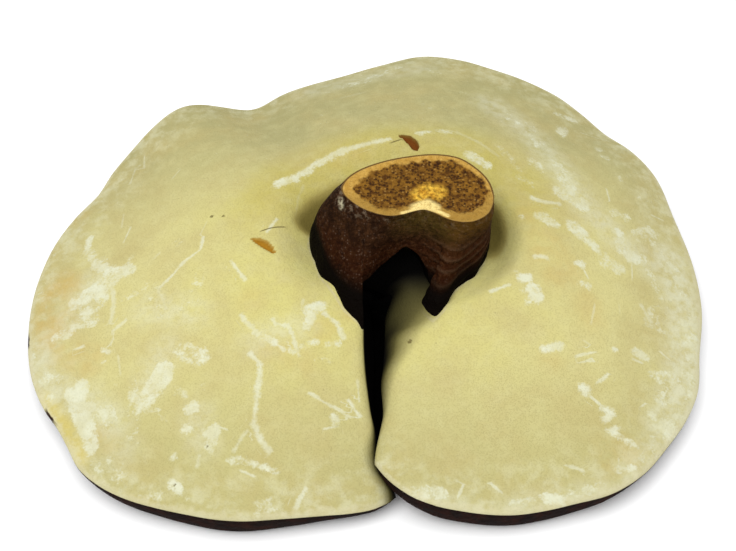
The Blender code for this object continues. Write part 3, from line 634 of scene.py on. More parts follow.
    def growth_lines(self):
        """Grooves that run round the crust, a little uneven, and fainter towards the hub."""
        drift = 0
        for batch, (size, far) in enumerate(LINE_DRIFT):
            drift = drift + far * lumps(self.on_plan, size, batch + 5)
        from_margin = self.from_margin + drift * ease(self.from_margin / STRAIGHT_NEAR_MARGIN)
        height = 0
        for distance, width, deep in GROWTH_LINES:
            height = height + deep * np.exp(-(((from_margin - distance) / width) ** 2))
        return height

    def crust_waves(self):
        """Low lumps of the crust, which only rise from it, so that it still lies flat."""
        height = 0
        for batch, (size, rise) in enumerate(CRUST_WAVES):
            height = height + rise * (0.5 + 0.5 * lumps(self.on_plan, size, batch + 8))
        return height * ease(self.from_margin / CRUST_WAVES_END)


def cap_grid():
    """The cap's grid, fine at the slit's edges, at its end and at the margin."""
    last = EDGE_BEARINGS[-1]
    middle = np.linspace(last, 360 - last, MIDDLE_BEARINGS + 2)[1:-1]
    bearings = np.concatenate((EDGE_BEARINGS, middle, 360 - np.array(EDGE_BEARINGS[::-1])))
    first, final = np.array(END_RINGS) / USUAL_REACH, 1 - np.array(MARGIN_RINGS[::-1]) / USUAL_REACH
    middle = np.linspace(first[-1], final[0], MIDDLE_RINGS + 2)[1:-1]
    return CapGrid(bearings, np.concatenate((first, middle, final)))


def near_stem(grid):
    """Distance of places on the pore face from the foot of the stem, up to FAR_FROM_STEM."""
    foot = np.array([strand[4:6] for strand in OUTER_STRANDS] + [strand[5:7] for strand in HOLLOW_STRANDS])
    return np.minimum(beside_stroke(grid.x, grid.y, list(foot) + [foot[0]])[0], FAR_FROM_STEM)


def hollow_shade(grid):
    """Where painted shade darkens the hollow round the stem to olive, 0 to 1."""
    return np.where(grid.x < HUB[0], fade_in(grid.y, *HOLLOW_SHADE_LEFT), fade_in(grid.y, *HOLLOW_SHADE_RIGHT))


def darkened(grid):
    """How strongly painted shade darkens the pores towards the slit and under the stem's arch, 0 to 1."""
    width, left_at_edge = both_along(DARK_BESIDE_SLIT, grid.radius)
    right = left_at_edge + (1 - left_at_edge) * np.clip(grid.from_right / width, 0, 1)
    right = np.where(grid.on_left, 1, right)
    left = np.where(grid.on_left, ease(grid.from_left / along(DARK_ON_LEFT, grid.radius)), 1)
    forward = np.clip((ARCH_DARK_FROM - grid.y) / (ARCH_DARK_FROM - ARCH_DARK_TO), 0, 1) ** ARCH_DARK_CURVE
    clear = grid.on_left & (np.cos(grid.turn) > ARCH_CLEAR_FROM)
    forward = np.where(clear, 1, forward)
    from_line = beside_stroke(grid.x, grid.y, ARCH_DARK_LINE)[0]
    beside = ease((from_line - ARCH_DARK_REACH) / ARCH_DARK_FADE)
    return 1 - right * left * np.maximum(forward, beside)


def pinholes(grid):
    """1 in each pinhole, falling to 0 round it."""
    cover = 0 * grid.x
    for x, y in PINHOLES:
        cover = np.maximum(cover, ease(PINHOLE_REACH - np.hypot(grid.x - x, grid.y - y)))
    return cover


def cap_marks(grid):
    """What the cap's two materials read at each of the grid's points."""
    scratch_across, scratch_shows = line_cover(grid, SCRATCHES)
    crack_across, crack_shows = line_cover(grid, CRACKS)
    from_sides = np.minimum(grid.from_left, grid.from_right)
    return {
        "outward": grid.share,
        "from_margin": grid.from_margin,
        "bruise": patch_cover(grid, BRUISES, BRUISE_SOFTNESS),
        "scratch_across": scratch_across,
        "scratch_shows": scratch_shows,
        "crack_across": crack_across,
        "crack_shows": crack_shows,
        "veiled": patch_cover(grid, VEILED, VEIL_SOFTNESS),
        "yellowed": patch_cover(grid, YELLOWED, YELLOW_SOFTNESS),
        "tanned": patch_cover(grid, TANNED, TAN_SOFTNESS),
        "crusted": sum(ease(grid.bearing - start) * ease(end - grid.bearing) for start, end in CRUSTED),
        "light_gouge": grid.light_gouge,
        "dark_gouge": grid.dark_gouge,
        "pinhole": pinholes(grid),
        # Painted shade in the hollow round the stem, as deep as the hollow is sunk
        "sunk": grid.sunk * hollow_shade(grid),
        # Painted shade beside the slit and under the stem's arch
        "darkened": darkened(grid),
        "from_stem": near_stem(grid),
        "from_slit": np.minimum(from_sides, grid.from_end + SLIT_END_AWAY),
    }


def cap_sheets(grid):
    """Points and faces of the two sheets, which share their border, and which points lie inside it."""
    columns, rows = grid.x.shape
    inner = np.zeros((columns, rows), bool)
    inner[1:-1, 1:-1] = True
    above = np.arange(columns * rows).reshape(columns, rows)
    below = above.copy()
    below[inner] = columns * rows + np.arange(inner.sum())
    upper = np.stack((grid.x, grid.y, grid.upper), -1)
    lower = np.stack((grid.lower_x, grid.lower_y, grid.lower), -1)
    points = np.concatenate((upper.reshape(-1, 3), lower[inner]))
    here, after = slice(0, -1), slice(1, None)
    corners = ((here, here), (here, after), (after, after), (after, here))
    top = np.stack([above[corner] for corner in reversed(corners)], -1).reshape(-1, 4)
    bottom = np.stack([below[corner] for corner in corners], -1).reshape(-1, 4)
    return points, top.tolist(), bottom.tolist(), inner


def make_cap(pore_face, crust):
    """Closed mesh of the cap's two sheets, with where each mark is on the pore face."""
    grid = cap_grid()
    points, top, bottom, inner = cap_sheets(grid)
    marks = {}
    for name, values in cap_marks(grid).items():
        values = np.broadcast_to(values, grid.x.shape)
        marks[name] = np.concatenate((values.reshape(-1), values[inner]))
    kinds = [0] * len(top) + [1] * len(bottom)
    return piece("fungus_cap", points, top + bottom, (pore_face, crust), kinds, marks)


# ---- Stem ----


def around(values, count_between):
    """Closed smooth curve through `values`, cut into `count_between` steps from each to the next."""
    before, after, further = np.roll(values, 1), np.roll(values, -1), np.roll(values, -2)
    steps = []
    for step in range(count_between):
        t = step / count_between
        steps.append(
            values
            + 0.5 * t * (after - before)
            + t * t * (before - 2.5 * values + 2 * after - 0.5 * further)
            + t**3 * (1.5 * (values - after) + 0.5 * (further - before))
        )
    return np.stack(steps, -1).reshape(-1)


def strand_points(above, below):
    """One point on every strand: the share `above` of the way from the cut down to the lip, and the
    share `below` of the way on from there to the root."""
    outer = np.array(OUTER_STRANDS)
    outer_z = CUT_HEIGHT - (CUT_HEIGHT - WAIST_HEIGHT) * above - (WAIST_HEIGHT - ROOT_HEIGHT) * below
    down = min((CUT_HEIGHT - outer_z) / (CUT_HEIGHT - FOOT_HEIGHT), 1)
    near, mid, far = (1 - down) ** 2, 2 * down * (1 - down), down**2
    outer_xy = near * outer[:, 0:2] + mid * outer[:, 2:4] + far * outer[:, 4:6]
    hollow = np.array(HOLLOW_STRANDS)
    cut, lip, lip_z, foot = hollow[:, 0:2], hollow[:, 2:4], hollow[:, 4], hollow[:, 5:7]
    hollow_xy = cut + (lip - cut) * above + (foot - lip) * ease(below / TURN_SHARE)
    hollow_z = CUT_HEIGHT - (CUT_HEIGHT - lip_z) * above - (lip_z - ROOT_HEIGHT) * below
    xy = np.concatenate((outer_xy, hollow_xy))
    z = np.concatenate((np.full(len(outer), outer_z), hollow_z))
    return np.stack([around(values, POINTS_PER_STRAND) for values in (xy[:, 0], xy[:, 1], z)], -1)


def stem_rows():
    """How far down each row of the skin is: from the cut to the lip, and from the lip to the root."""
    above = np.concatenate((np.linspace(0, 1, ROWS_ABOVE_LIP), np.ones(ROWS_IN_TURN + ROWS_IN_HOLLOW)))
    turning = np.linspace(0, TURN_SHARE, ROWS_IN_TURN + 1)[1:]
    inside = np.linspace(TURN_SHARE, 1, ROWS_IN_HOLLOW + 1)[1:]
    return above, np.concatenate((np.zeros(ROWS_ABOVE_LIP), turning, inside))


def bark_rings(skin):
    """The sagging rings round the right of the stem, from -1 in a groove to 1 on a ridge."""
    x, down = skin[..., 0], CUT_HEIGHT - skin[..., 2]
    size, far = RING_WANDER
    sag = down + RING_RISE * (x - RINGS_LOWEST_AT) ** 2 + far * lumps(skin, size, 21)
    shows = fade_in(x, *RINGS_TO_RIGHT) * fade_in(down, *RINGS_BELOW_CUT)
    return np.sin(sag * 2 * np.pi / RING_SPACING) * shows


def bark_relief(skin, below):
    """Height of the bark's lumps, rings and creases, which fade out from the hollow's lip down."""
    down = CUT_HEIGHT - skin[..., 2]
    height = RING_HEIGHT * bark_rings(skin)
    creases = lumps(skin * UPRIGHT, CREASE_SIZE, 22) * fade_in(down, *CREASES_BELOW_CUT)
    height = height + CREASE_HEIGHT * creases
    for batch, (size, rise) in enumerate(BARK_LUMPS):
        height = height + rise * lumps(skin, size, batch + 23)
    return height * ease(down / SMOOTH_BELOW_CUT) * (1 - below)[:, None]


def bark_skin(above, below):
    """The skin's rows of points, with the bark's relief."""
    skin = np.stack([strand_points(a, b) for a, b in zip(above, below)])
    down_step, round_step = np.gradient(skin, axis=0), np.roll(skin, -1, 1) - np.roll(skin, 1, 1)
    outward = np.cross(down_step, round_step)
    # The tiny length keeps corners that have shrunk to a point from dividing by nothing
    length = np.linalg.norm(outward, axis=-1, keepdims=True) + 1e-9
    return skin + outward / length * UPRIGHT * bark_relief(skin, below)[..., None]


def cut_face(edge):
    """The cut's rings of points, from the bark in towards the pith, and how far each is from the bark."""
    share = 1 - np.linspace(0, 1, CUT_RINGS + 1)[1:-1] ** RING_CROWDING
    rings = PITH + (edge - PITH) * share[:, None, None]
    from_bark = beside_stroke(rings[..., 0], rings[..., 1], list(edge[:, :2]) + [edge[0, :2]])[0]
    rough = SAW_ROUGHNESS * fade_in(from_bark, *SAWN_IN) * (1 + lumps(rings, SAW_MARK_SIZE, 31))
    rings[..., 2] -= rough + PITH_SUNK * fade_in(from_bark, *SUNK_IN)
    return rings, from_bark


def stem_faces(rows, rings, count):
    """Faces of the skin, of the cut and of the root, for rows and rings of `count` points."""
    k = np.arange(count)
    after = (k + 1) % count
    row = count * np.arange(rows - 1)[:, None]
    skin = np.stack((row + k, row + count + k, row + count + after, row + after), -1).reshape(-1, 4)
    starts = [0] + [(rows + ring) * count for ring in range(rings)]
    cut = [np.stack((a + k, a + after, b + after, b + k), -1) for a, b in zip(starts, starts[1:])]
    middle = (rows + rings) * count
    centre = [(starts[-1] + i, starts[-1] + (i + 1) % count, middle) for i in range(count)]
    root = [[(rows - 1) * count + i for i in reversed(range(count))]]
    return skin.tolist(), np.concatenate(cut).tolist() + centre, root


def make_stem(bark, sawn):
    """Closed mesh of the stem: its skin along the strands, and the cut as rings round the pith."""
    above, below = stem_rows()
    skin = bark_skin(above, below)
    rings, from_bark = cut_face(skin[0])
    middle = PITH - (0, 0, PITH_MIDDLE_SUNK)
    points = np.concatenate((skin.reshape(-1, 3), rings.reshape(-1, 3), [middle]))
    rows, count = skin.shape[:2]
    sides, cut, root = stem_faces(rows, len(rings), count)
    hollowness = ease(below / TURN_SHARE)[:, None] * in_hollow()
    marks = {
        "below_cut": np.maximum(CUT_HEIGHT - points[:, 2], 0),
        "from_bark": np.concatenate((np.zeros(rows * count), from_bark.reshape(-1), [DEEP_IN])),
        "gold": flesh_cover(points, GOLDEN_FLESH),
        "cream": flesh_cover(points, CREAM_FLESH),
        "scar": scarred(points),
        "ridged": np.maximum(bark_rings(points), 0) ** 3,
        "hollowness": np.concatenate((hollowness.reshape(-1), np.zeros(len(points) - rows * count))),
    }
    kinds = [0] * len(sides) + [1] * len(cut) + [0] * len(root)
    stem = piece("fungus_stem", points, sides + cut + root, (bark, sawn), kinds, marks)
    stem.data.set_sharp_from_angle(angle=math.radians(SHARP_ANGLE))
    return stem


def flesh_cover(points, strokes):
    """1 along the strokes, falling to 0 a little past their reach to either side."""
    cover = np.zeros(len(points))
    for reach, *line in strokes:
        distance = beside_stroke(points[:, 0], points[:, 1], line)[0]
        cover = np.maximum(cover, ease(FADED_AT - distance / reach))
    return cover


def scarred(points):
    """1 on the pale scar below the cut, fading out round it."""
    upper, lower = SCAR
    run = np.clip((points - upper) @ (lower - upper) / ((lower - upper) @ (lower - upper)), 0, 1)
    distance = np.linalg.norm(points - upper - run[:, None] * (lower - upper), axis=-1)
    return ease(FADED_AT - distance / SCAR_REACH)


def in_hollow():
    """1 on the strands that line the hollow and 0 on the outside, with a short blend."""
    lined = np.array([0.0] * len(OUTER_STRANDS) + [1.0] * len(HOLLOW_STRANDS))
    lined[len(OUTER_STRANDS)] = HALF_INSIDE
    lined[-1] = HALF_INSIDE
    return np.clip(around(lined, POINTS_PER_STRAND), 0, 1)


# ---- Meshes ----


def add(name, data):
    """A new object in the scene."""
    made = bpy.data.objects.new(name, data)
    bpy.context.scene.collection.objects.link(made)
    return made


def piece(name, points, faces, finishes, kinds, marks):
    """A smooth-shaded piece from points in millimetres: `kinds` says which finish each face has, and
    `marks` what the finishes read at each point."""
    mesh = bpy.data.meshes.new(name)
    mesh.from_pydata(((points - MIDDLE) * METRE).tolist(), [], faces)
    mesh.shade_smooth()
    for finish in finishes:
        mesh.materials.append(finish)
    mesh.polygons.foreach_set("material_index", kinds)
    for mark, values in marks.items():
        mesh.attributes.new(mark, "FLOAT", "POINT").data.foreach_set("value", values.astype(np.float32))
    return add(name, mesh)


# ---- Colours, as linear red, green and blue ----


def colour(red, green, blue):
    return (red, green, blue, 1.0)


# Where a name has two colours, they blend into each other.

# Pores: near the stem, further out and at the margin, then at the back, round the stem and in front; the
# margin, back and front ones are darkened partly with painted shade where the face slopes away from the
# light
INNER_STRAW = colour(0.52, 0.475, 0.170)
OUTER_STRAW = colour(0.515, 0.470, 0.205)
MARGIN_SHADED_STRAW = colour(0.430, 0.385, 0.172)
BACK_SHADED_STRAW = colour(0.325, 0.300, 0.138)
RING_YELLOW = colour(0.420, 0.360, 0.092)
FRONT_SHADED_STRAW = colour(0.400, 0.365, 0.155)
TAN_CLOUD = colour(0.425, 0.358, 0.150)
PALE_CLOUD = colour(0.53, 0.50, 0.25)
PORE_MOUTH = colour(0.30, 0.25, 0.09)
BROWN_SPECK = colour(0.17, 0.13, 0.05)
TAN_STAIN = colour(0.47, 0.335, 0.105)
YELLOW_STAIN = colour(0.52, 0.43, 0.12)
CHALK = colour(0.60, 0.61, 0.46)
PALE_MARGIN = colour(0.55, 0.515, 0.33)
CRUST_ON_TOP = colour(0.022, 0.009, 0.006)
STEM_LINE = colour(0.50, 0.45, 0.27)
# Painted shade: olive in the hollow round the stem
HOLLOW_SHADE_OLIVE = colour(0.245, 0.195, 0.050)
DEEP_HOLLOW_SHADE_OLIVE = colour(0.105, 0.080, 0.015)
# Painted shade: darker and nearly black pores beside the slit and under the stem's arch
SHADED_PORES = colour(0.115, 0.100, 0.030)
PORE_SHADE_BLACK = colour(0.002, 0.0015, 0.001)
CRACK_BROWN = colour(0.11, 0.085, 0.025)
# Flesh on the sides and on the floor of each gouge
LIGHT_GOUGE_FLESH = colour(0.37, 0.24, 0.050), colour(0.31, 0.150, 0.010)
DARK_GOUGE_FLESH = colour(0.15, 0.08, 0.013), colour(0.14, 0.042, 0.004)
# Crust
LACQUER = colour(0.018, 0.006, 0.004), colour(0.095, 0.023, 0.010)
LACQUER_MOTTLE = colour(0.040, 0.012, 0.007)
DUST = colour(0.18, 0.11, 0.07)
CRUST_RIM = colour(0.007, 0.003, 0.0022), colour(0.022, 0.008, 0.0055)
# Painted shade: black in the slit and in the stem's hollow
DEEP_SHADE_BLACK = colour(0.001, 0.0008, 0.0008)
# Bark
BROWN_BARK = colour(0.013, 0.0052, 0.0022), colour(0.034, 0.0135, 0.0050)
OLIVE_BARK = colour(0.040, 0.024, 0.0040), colour(0.066, 0.042, 0.0085)
WARM_BARK = colour(0.050, 0.0165, 0.0036)
TAN_BARK = colour(0.088, 0.044, 0.0060)
# Redder bark towards the feet, darkened there partly with painted shade
RED_SHADED_BARK = colour(0.021, 0.0042, 0.0008)
LIGHT_GRAIN = colour(0.068, 0.029, 0.0105)
DARK_PITS = colour(0.0075, 0.0030, 0.0022)
GREY_FLECK = colour(0.13, 0.085, 0.06)
FRAYED_GREY = colour(0.20, 0.15, 0.10)
RIDGE_TAN = colour(0.090, 0.055, 0.030)
PALE_SCAR = colour(0.36, 0.32, 0.21)
# Painted shade: black at the stem's feet and on its left side
FOOT_SHADE_BLACK = colour(0.0025, 0.0015, 0.001)
# Cut
PALE_RIM = colour(0.390, 0.215, 0.036), colour(0.51, 0.310, 0.070)
OUTER_RIM = colour(0.45, 0.30, 0.095)
FRONT_RIM = colour(0.25, 0.142, 0.025)
BROWN_PITH = colour(0.060, 0.021, 0.0022), colour(0.245, 0.115, 0.0125)
SHADED_PITH = colour(0.060, 0.021, 0.003)
PITH_HOLE = colour(0.026, 0.009, 0.0025)
PITH_CRUMB = colour(0.35, 0.195, 0.045)
GILT = colour(0.55, 0.26, 0.018), colour(0.90, 0.56, 0.065)
GILT_HOLE = colour(0.12, 0.045, 0.004)
CREAM = colour(0.79, 0.62, 0.235)
SKIN_BROWN = colour(0.07, 0.033, 0.008)
# Studio
WHITE = colour(1.0, 1.0, 1.0)
FLOOR_WHITE = colour(0.95, 0.95, 0.95)


# ---- Shading ----


class Bench:
    """Places nodes in one node tree, and wires or sets each one's inputs as it goes."""

    def __init__(self, tree):
        self.tree = tree

    def place(self, kind, inputs, **settings):
        node = self.tree.nodes.new(kind)
        for name, value in settings.items():
            setattr(node, name, value)
        for socket, value in inputs.items():
            if isinstance(value, bpy.types.NodeSocket):
                self.tree.links.new(value, node.inputs[socket])
            else:
                node.inputs[socket].default_value = value
        return node

    def combine(self, operation, first, *others):
        """Numbers taken together two at a time, from the first to the last."""
        for other in others:
            first = self.place("ShaderNodeMath", {0: first, 1: other}, operation=operation).outputs[0]
        return first

    def sum(self, *numbers):
        return self.combine("ADD", *numbers)

    def product(self, *numbers):
        return self.combine("MULTIPLY", *numbers)

    def difference(self, first, second):
        return self.combine("SUBTRACT", first, second)

    def larger(self, *numbers):
        return self.combine("MAXIMUM", *numbers)

    def size_of(self, number):
        return self.place("ShaderNodeMath", {0: number}, operation="ABSOLUTE").outputs[0]

    def scaled(self, place, times):
        return self.place("ShaderNodeVectorMath", {0: place, 3: times}, operation="SCALE").outputs[0]

    def step(self, value, start, end, low=0.0, high=1.0):
        """`low` up to `start`, `high` from `end`, and smooth between; `start` may be the larger."""
        inputs = {"Value": value, "From Min": start, "From Max": end, "To Min": low, "To Max": high}
        return self.place("ShaderNodeMapRange", inputs, interpolation_type="SMOOTHSTEP").outputs[0]

    def blend(self, share, first, second):
        """Colour `first` where share is 0 and `second` where it is 1."""
        return self.place("ShaderNodeMix", {0: share, 6: first, 7: second}, data_type="RGBA").outputs[2]


# ---- Effects that several materials share ----


class EffectBench(Bench):
    """Bench of a new node group, which reads a Place and some numbers, one of them a Size."""

    def __init__(self, name, inputs, output):
        super().__init__(bpy.data.node_groups.new(name, "ShaderNodeTree"))
        sockets = self.tree.interface
        sockets.new_socket("Place", in_out="INPUT", socket_type="NodeSocketVector")
        for label, usual in inputs.items():
            socket = sockets.new_socket(label, in_out="INPUT", socket_type="NodeSocketFloat")
            socket.default_value = usual
        sockets.new_socket(output, in_out="OUTPUT", socket_type="NodeSocketFloat")
        self.given = self.place("NodeGroupInput", {}).outputs
        # The place, counted in lengths of Size
        self.spot = self.scaled(self.given["Place"], self.combine("DIVIDE", 1.0, self.given["Size"]))

    def noise(self, **inputs):
        inputs = {"Vector": self.spot, "Scale": 1.0, "Detail": self.given["Detail"], **inputs}
        return self.place("ShaderNodeTexNoise", inputs).outputs[0]

    def group(self, result):
        """The finished group, which gives `result`."""
        self.place("NodeGroupOutput", {0: result})
        return self.tree


def blotches_group():
    """Soft blotches about Size across. Edge is how gradually they turn from 0 to 1."""
    bench = EffectBench("blotches", {"Size": 5.0, "Cover": 0.5, "Edge": 0.1, "Detail": 3.0}, "Mask")
    middle, edge = bench.difference(1.0, bench.given["Cover"]), bench.given["Edge"]
    noise = bench.noise(Roughness=0.6)
    return bench.group(bench.step(noise, bench.difference(middle, edge), bench.sum(middle, edge)))


def specks_group():
    """Separate small specks, one in each cell of Size, where Share of the cells have one."""
    bench = EffectBench("specks", {"Size": 1.0, "Breadth": 0.3, "Share": 0.5}, "Mask")
    cells = bench.place("ShaderNodeTexVoronoi", {"Vector": bench.spot, "Scale": 1.0}).outputs
    breadth = bench.given["Breadth"]
    speck = bench.step(cells["Distance"], breadth, bench.product(breadth, 0.5))
    pick = bench.place("ShaderNodeSeparateColor", {0: cells["Color"]}).outputs[0]
    return bench.group(bench.product(speck, bench.combine("LESS_THAN", pick, bench.given["Share"])))


def wrinkles_group():
    """Unevenness about Size across, from -1 to 1, for bumps and for wandering edges."""
    bench = EffectBench("wrinkles", {"Size": 1.0, "Detail": 2.0}, "Height")
    return bench.group(bench.step(bench.noise(), 0.2, 0.8, -1.0, 1.0))


# ---- Materials ----


def new_finish(name, constants):
    """A material and its own Principled shader, with these constants."""
    finish = bpy.data.materials.new(name)
    finish.use_nodes = True
    shader = finish.node_tree.nodes["Principled BSDF"]
    for socket, value in constants.items():
        shader.inputs[socket].default_value = value
    return finish, shader


class FinishBench(Bench):
    """Bench of a new material, with the shared effects at hand."""

    def __init__(self, name, effects, constants):
        self.finish, self.shader = new_finish(name, constants)
        super().__init__(self.finish.node_tree)
        self.effects = effects
        # The place on the fungus, in millimetres
        self.spot = self.scaled(self.place("ShaderNodeTexCoord", {}).outputs["Object"], 1 / METRE)

    def axes(self):
        """How far to the right and how far back, in millimetres."""
        return self.place("ShaderNodeSeparateXYZ", {0: self.spot}).outputs[:2]

    def mark(self, name):
        return self.place("ShaderNodeAttribute", {}, attribute_name=name).outputs["Fac"]

    def effect(self, name, inputs):
        inputs = {"Place": self.spot, **inputs}
        return self.place("ShaderNodeGroup", inputs, node_tree=self.effects[name]).outputs[0]

    def blotches(self, size, cover=0.5, edge=0.2, detail=3.0):
        return self.effect("blotches", {"Size": size, "Cover": cover, "Edge": edge, "Detail": detail})

    def specks(self, size, breadth, share):
        return self.effect("specks", {"Size": size, "Breadth": breadth, "Share": share})

    def wrinkles(self, size, detail=2.0):
        return self.effect("wrinkles", {"Size": size, "Detail": detail})

    def lay(self, under, paint, cover, strength=None):
        """The colour `under` with `paint` on it where `cover` is 1, as strongly as `strength`."""
        share = cover if strength is None else self.product(cover, strength)
        return self.blend(share, under, paint)

    def feed(self, socket, value):
        self.tree.links.new(value, self.shader.inputs[socket])

    def bump(self, height):
        """Fine relief whose height is given in millimetres."""
        inputs = {"Strength": 1.0, "Distance": METRE, "Height": height}
        self.feed("Normal", self.place("ShaderNodeBump", inputs).outputs[0])


def pore_ground(bench, mouths):
    """Yellow near the stem, straw further out, darker towards the margin, at the back and in front, partly
    as painted shade where the face slopes away from the light, with pore mouths.
    """
    _, back = bench.axes()
    outward = bench.sum(bench.mark("outward"), bench.product(bench.wrinkles(26.0), 0.12))
    tone = bench.blend(bench.step(outward, 0.2, 0.7), INNER_STRAW, OUTER_STRAW)
    # Darker towards the margin, at the back and in front: partly the pores' own tone, partly painted shade
    # where the face slopes away from the light
    tone = bench.lay(tone, MARGIN_SHADED_STRAW, bench.step(outward, 0.68, 1.0))
    tone = bench.lay(tone, BACK_SHADED_STRAW, bench.step(back, 0.0, 50.0), 0.85)
    ring = bench.product(bench.step(bench.mark("from_stem"), 30.0, 15.0), bench.step(back, -12.0, 12.0))
    tone = bench.lay(tone, RING_YELLOW, ring, 0.85)
    tone = bench.lay(tone, FRONT_SHADED_STRAW, bench.step(back, -35.0, -75.0), 0.8)
    tone = bench.lay(tone, TAN_CLOUD, bench.blotches(13.0, cover=0.45, detail=5.0), 0.6)
    tone = bench.lay(tone, PALE_CLOUD, bench.blotches(4.5, cover=0.42), 0.3)
    tone = bench.lay(tone, PORE_MOUTH, mouths, 0.17)
    return bench.lay(tone, BROWN_SPECK, bench.specks(3.2, breadth=0.09, share=0.35), 0.3)


def chalk_cover(bench, from_margin):
    """How strongly chalky bruises, scratches and powder cover the pores, with ragged edges."""
    coarse, fine = bench.wrinkles(3.0, detail=5.0), bench.wrinkles(0.7, detail=3.0)
    broken = bench.sum(bench.product(coarse, 0.40), bench.product(fine, 0.24))
    stroke = bench.mark("bruise")
    bruise = bench.product(bench.step(bench.sum(stroke, broken), 0.15, 1.0), bench.step(stroke, 0.02, 0.3))
    ragged = bench.sum(bench.size_of(bench.mark("scratch_across")), bench.product(broken, 1.1))
    shows = bench.step(bench.mark("scratch_shows"), 0.05, 0.95)
    scratch = bench.product(bench.step(ragged, 1.2, 0.1), shows, 0.85)
    uneven = bench.step(bench.wrinkles(5.0, detail=4.0), -0.7, 0.7, 0.62, 1.0)
    powder = bench.blotches(4.5, cover=0.45, edge=0.14, detail=8.0)
    powder = bench.product(powder, bench.step(from_margin, 20.0, 2.0), 0.36)
    veil = bench.product(bench.mark("veiled"), bench.blotches(3.2, cover=0.55, edge=0.22, detail=8.0))
    return bench.larger(bench.product(bench.larger(bruise, scratch), uneven), powder, veil)


def pore_stains(bench, tone, from_margin):
    """Tan and yellow stains, and the chalk over them."""
    patchy = bench.blotches(5.0, cover=0.55, edge=0.22)
    tone = bench.lay(tone, TAN_STAIN, bench.product(bench.mark("tanned"), patchy), 0.75)
    yellowed = bench.product(bench.mark("yellowed"), bench.step(patchy, -0.6, 0.6))
    tone = bench.lay(tone, YELLOW_STAIN, yellowed, 0.7)
    return bench.lay(tone, CHALK, chalk_cover(bench, from_margin), 0.86)


def pore_edges(bench, tone, from_margin):
    """The margin's pale line, the short bits where crust shows on top of it, and the line round the stem."""
    wander = bench.wrinkles(2.5, detail=4.0)
    tone = bench.lay(tone, PALE_MARGIN, bench.step(bench.sum(from_margin, wander), 2.2, 0.6), 0.5)
    at_edge = bench.step(bench.sum(from_margin, bench.product(wander, 0.35)), 0.7, 0.35)
    tone = bench.lay(tone, CRUST_ON_TOP, bench.product(bench.mark("crusted"), at_edge))
    return bench.lay(tone, STEM_LINE, bench.step(bench.mark("from_stem"), 0.6, 0.25), 0.5)


def pore_shade(bench, tone):
    """Painted shade: dark olive in the sunk ring beside the stem, nearly black under its arch and into the
    slit.
    """
    sunk = bench.product(
        bench.step(bench.mark("sunk"), 0.5, 4.5), bench.step(bench.mark("from_stem"), 11.0, 1.5)
    )
    tone = bench.lay(tone, HOLLOW_SHADE_OLIVE, bench.step(sunk, 0.0, 0.55), 0.85)
    tone = bench.lay(tone, DEEP_HOLLOW_SHADE_OLIVE, bench.step(sunk, 0.3, 1.0), 0.9)
    dark = bench.mark("darkened")
    tone = bench.lay(tone, SHADED_PORES, dark, 1.35)
    return bench.lay(tone, PORE_SHADE_BLACK, bench.step(dark, 0.6, 1.0))


def opened_pores(bench, tone):
    """Gouges down to the orange-brown flesh, cracks and pinholes."""
    for mark, floor_at, flesh in (
        ("light_gouge", 1.2, LIGHT_GOUGE_FLESH),
        ("dark_gouge", 1.4, DARK_GOUGE_FLESH),
    ):
        depth = bench.mark(mark)
        flesh = bench.blend(bench.step(depth, 0.3, floor_at), *flesh)
        tone = bench.lay(tone, flesh, bench.step(depth, 0.05, 0.4))
    across, shows = bench.mark("crack_across"), bench.mark("crack_shows")
    crack = bench.product(bench.step(bench.size_of(across), 1.4, 0.3), shows)
    pinhole = bench.product(bench.step(bench.mark("pinhole"), 0.86, 1.0), 0.8)
    return bench.lay(tone, CRACK_BROWN, bench.larger(crack, pinhole))


def pore_face_finish(effects):
    bench = FinishBench("pore_face", effects, {"Roughness": 0.8, "Specular IOR Level": 0.1})
    from_margin, mouths = bench.mark("from_margin"), bench.specks(0.42, breadth=0.5, share=0.85)
    tone = pore_stains(bench, pore_ground(bench, mouths), from_margin)
    tone = pore_edges(bench, tone, from_margin)
    bench.feed("Base Color", opened_pores(bench, pore_shade(bench, tone)))
    fine = bench.product(bench.wrinkles(1.3, detail=3.0), 0.05)
    bench.bump(bench.sum(fine, bench.product(mouths, -0.05)))
    return bench.finish


def crust_finish(effects):
    """Banded red-brown lacquer with dust on it, duller and nearly black on the rim, and black with painted
    shade in the slit.
    """
    bench = FinishBench("lacquered_crust", effects, {"Specular IOR Level": 0.04, "Coat Roughness": 0.2})
    from_margin = bench.mark("from_margin")
    wander = bench.product(bench.wrinkles(18.0, detail=4.0), 3.0)
    across_bands = bench.product(bench.sum(from_margin, wander), 0.16)
    inputs = {"W": across_bands, "Scale": 1.0, "Detail": 2.0}
    bands = bench.place("ShaderNodeTexNoise", inputs, noise_dimensions="1D").outputs[0]
    mottled = bench.blotches(3.5, cover=0.45, edge=0.15, detail=5.0)
    dusty = bench.blotches(9.0, cover=0.38, edge=0.15, detail=8.0)
    dust = bench.product(dusty, bench.specks(0.8, breadth=0.5, share=0.6))
    on_rim, in_slit = bench.step(from_margin, 9.0, 4.0), bench.step(bench.mark("from_slit"), 12.0, 6.0)
    tone = bench.blend(bench.step(bands, 0.35, 0.65), *LACQUER)
    tone = bench.lay(tone, LACQUER_MOTTLE, mottled, 0.35)
    tone = bench.lay(tone, DUST, dust, 0.30)
    tone = bench.lay(tone, bench.blend(mottled, *CRUST_RIM), on_rim)
    # Painted shade: black on the walls of the slit
    tone = bench.lay(tone, DEEP_SHADE_BLACK, bench.product(in_slit, bench.step(from_margin, 2.0, 7.0)))
    bench.feed("Base Color", tone)
    near_edge = bench.larger(on_rim, in_slit)
    bench.feed("Coat Weight", bench.step(near_edge, 0.0, 1.0, 0.7, 0.0))
    patchy = bench.sum(bench.product(mottled, 0.14), bench.product(dust, 0.3), 0.4)
    bench.feed("Roughness", bench.sum(bench.product(near_edge, 0.35), patchy))
    relief = bench.product(bench.wrinkles(2.4, detail=5.0), 0.16)
    bench.bump(bench.sum(relief, bench.product(bands, 0.5)))
    return bench.finish


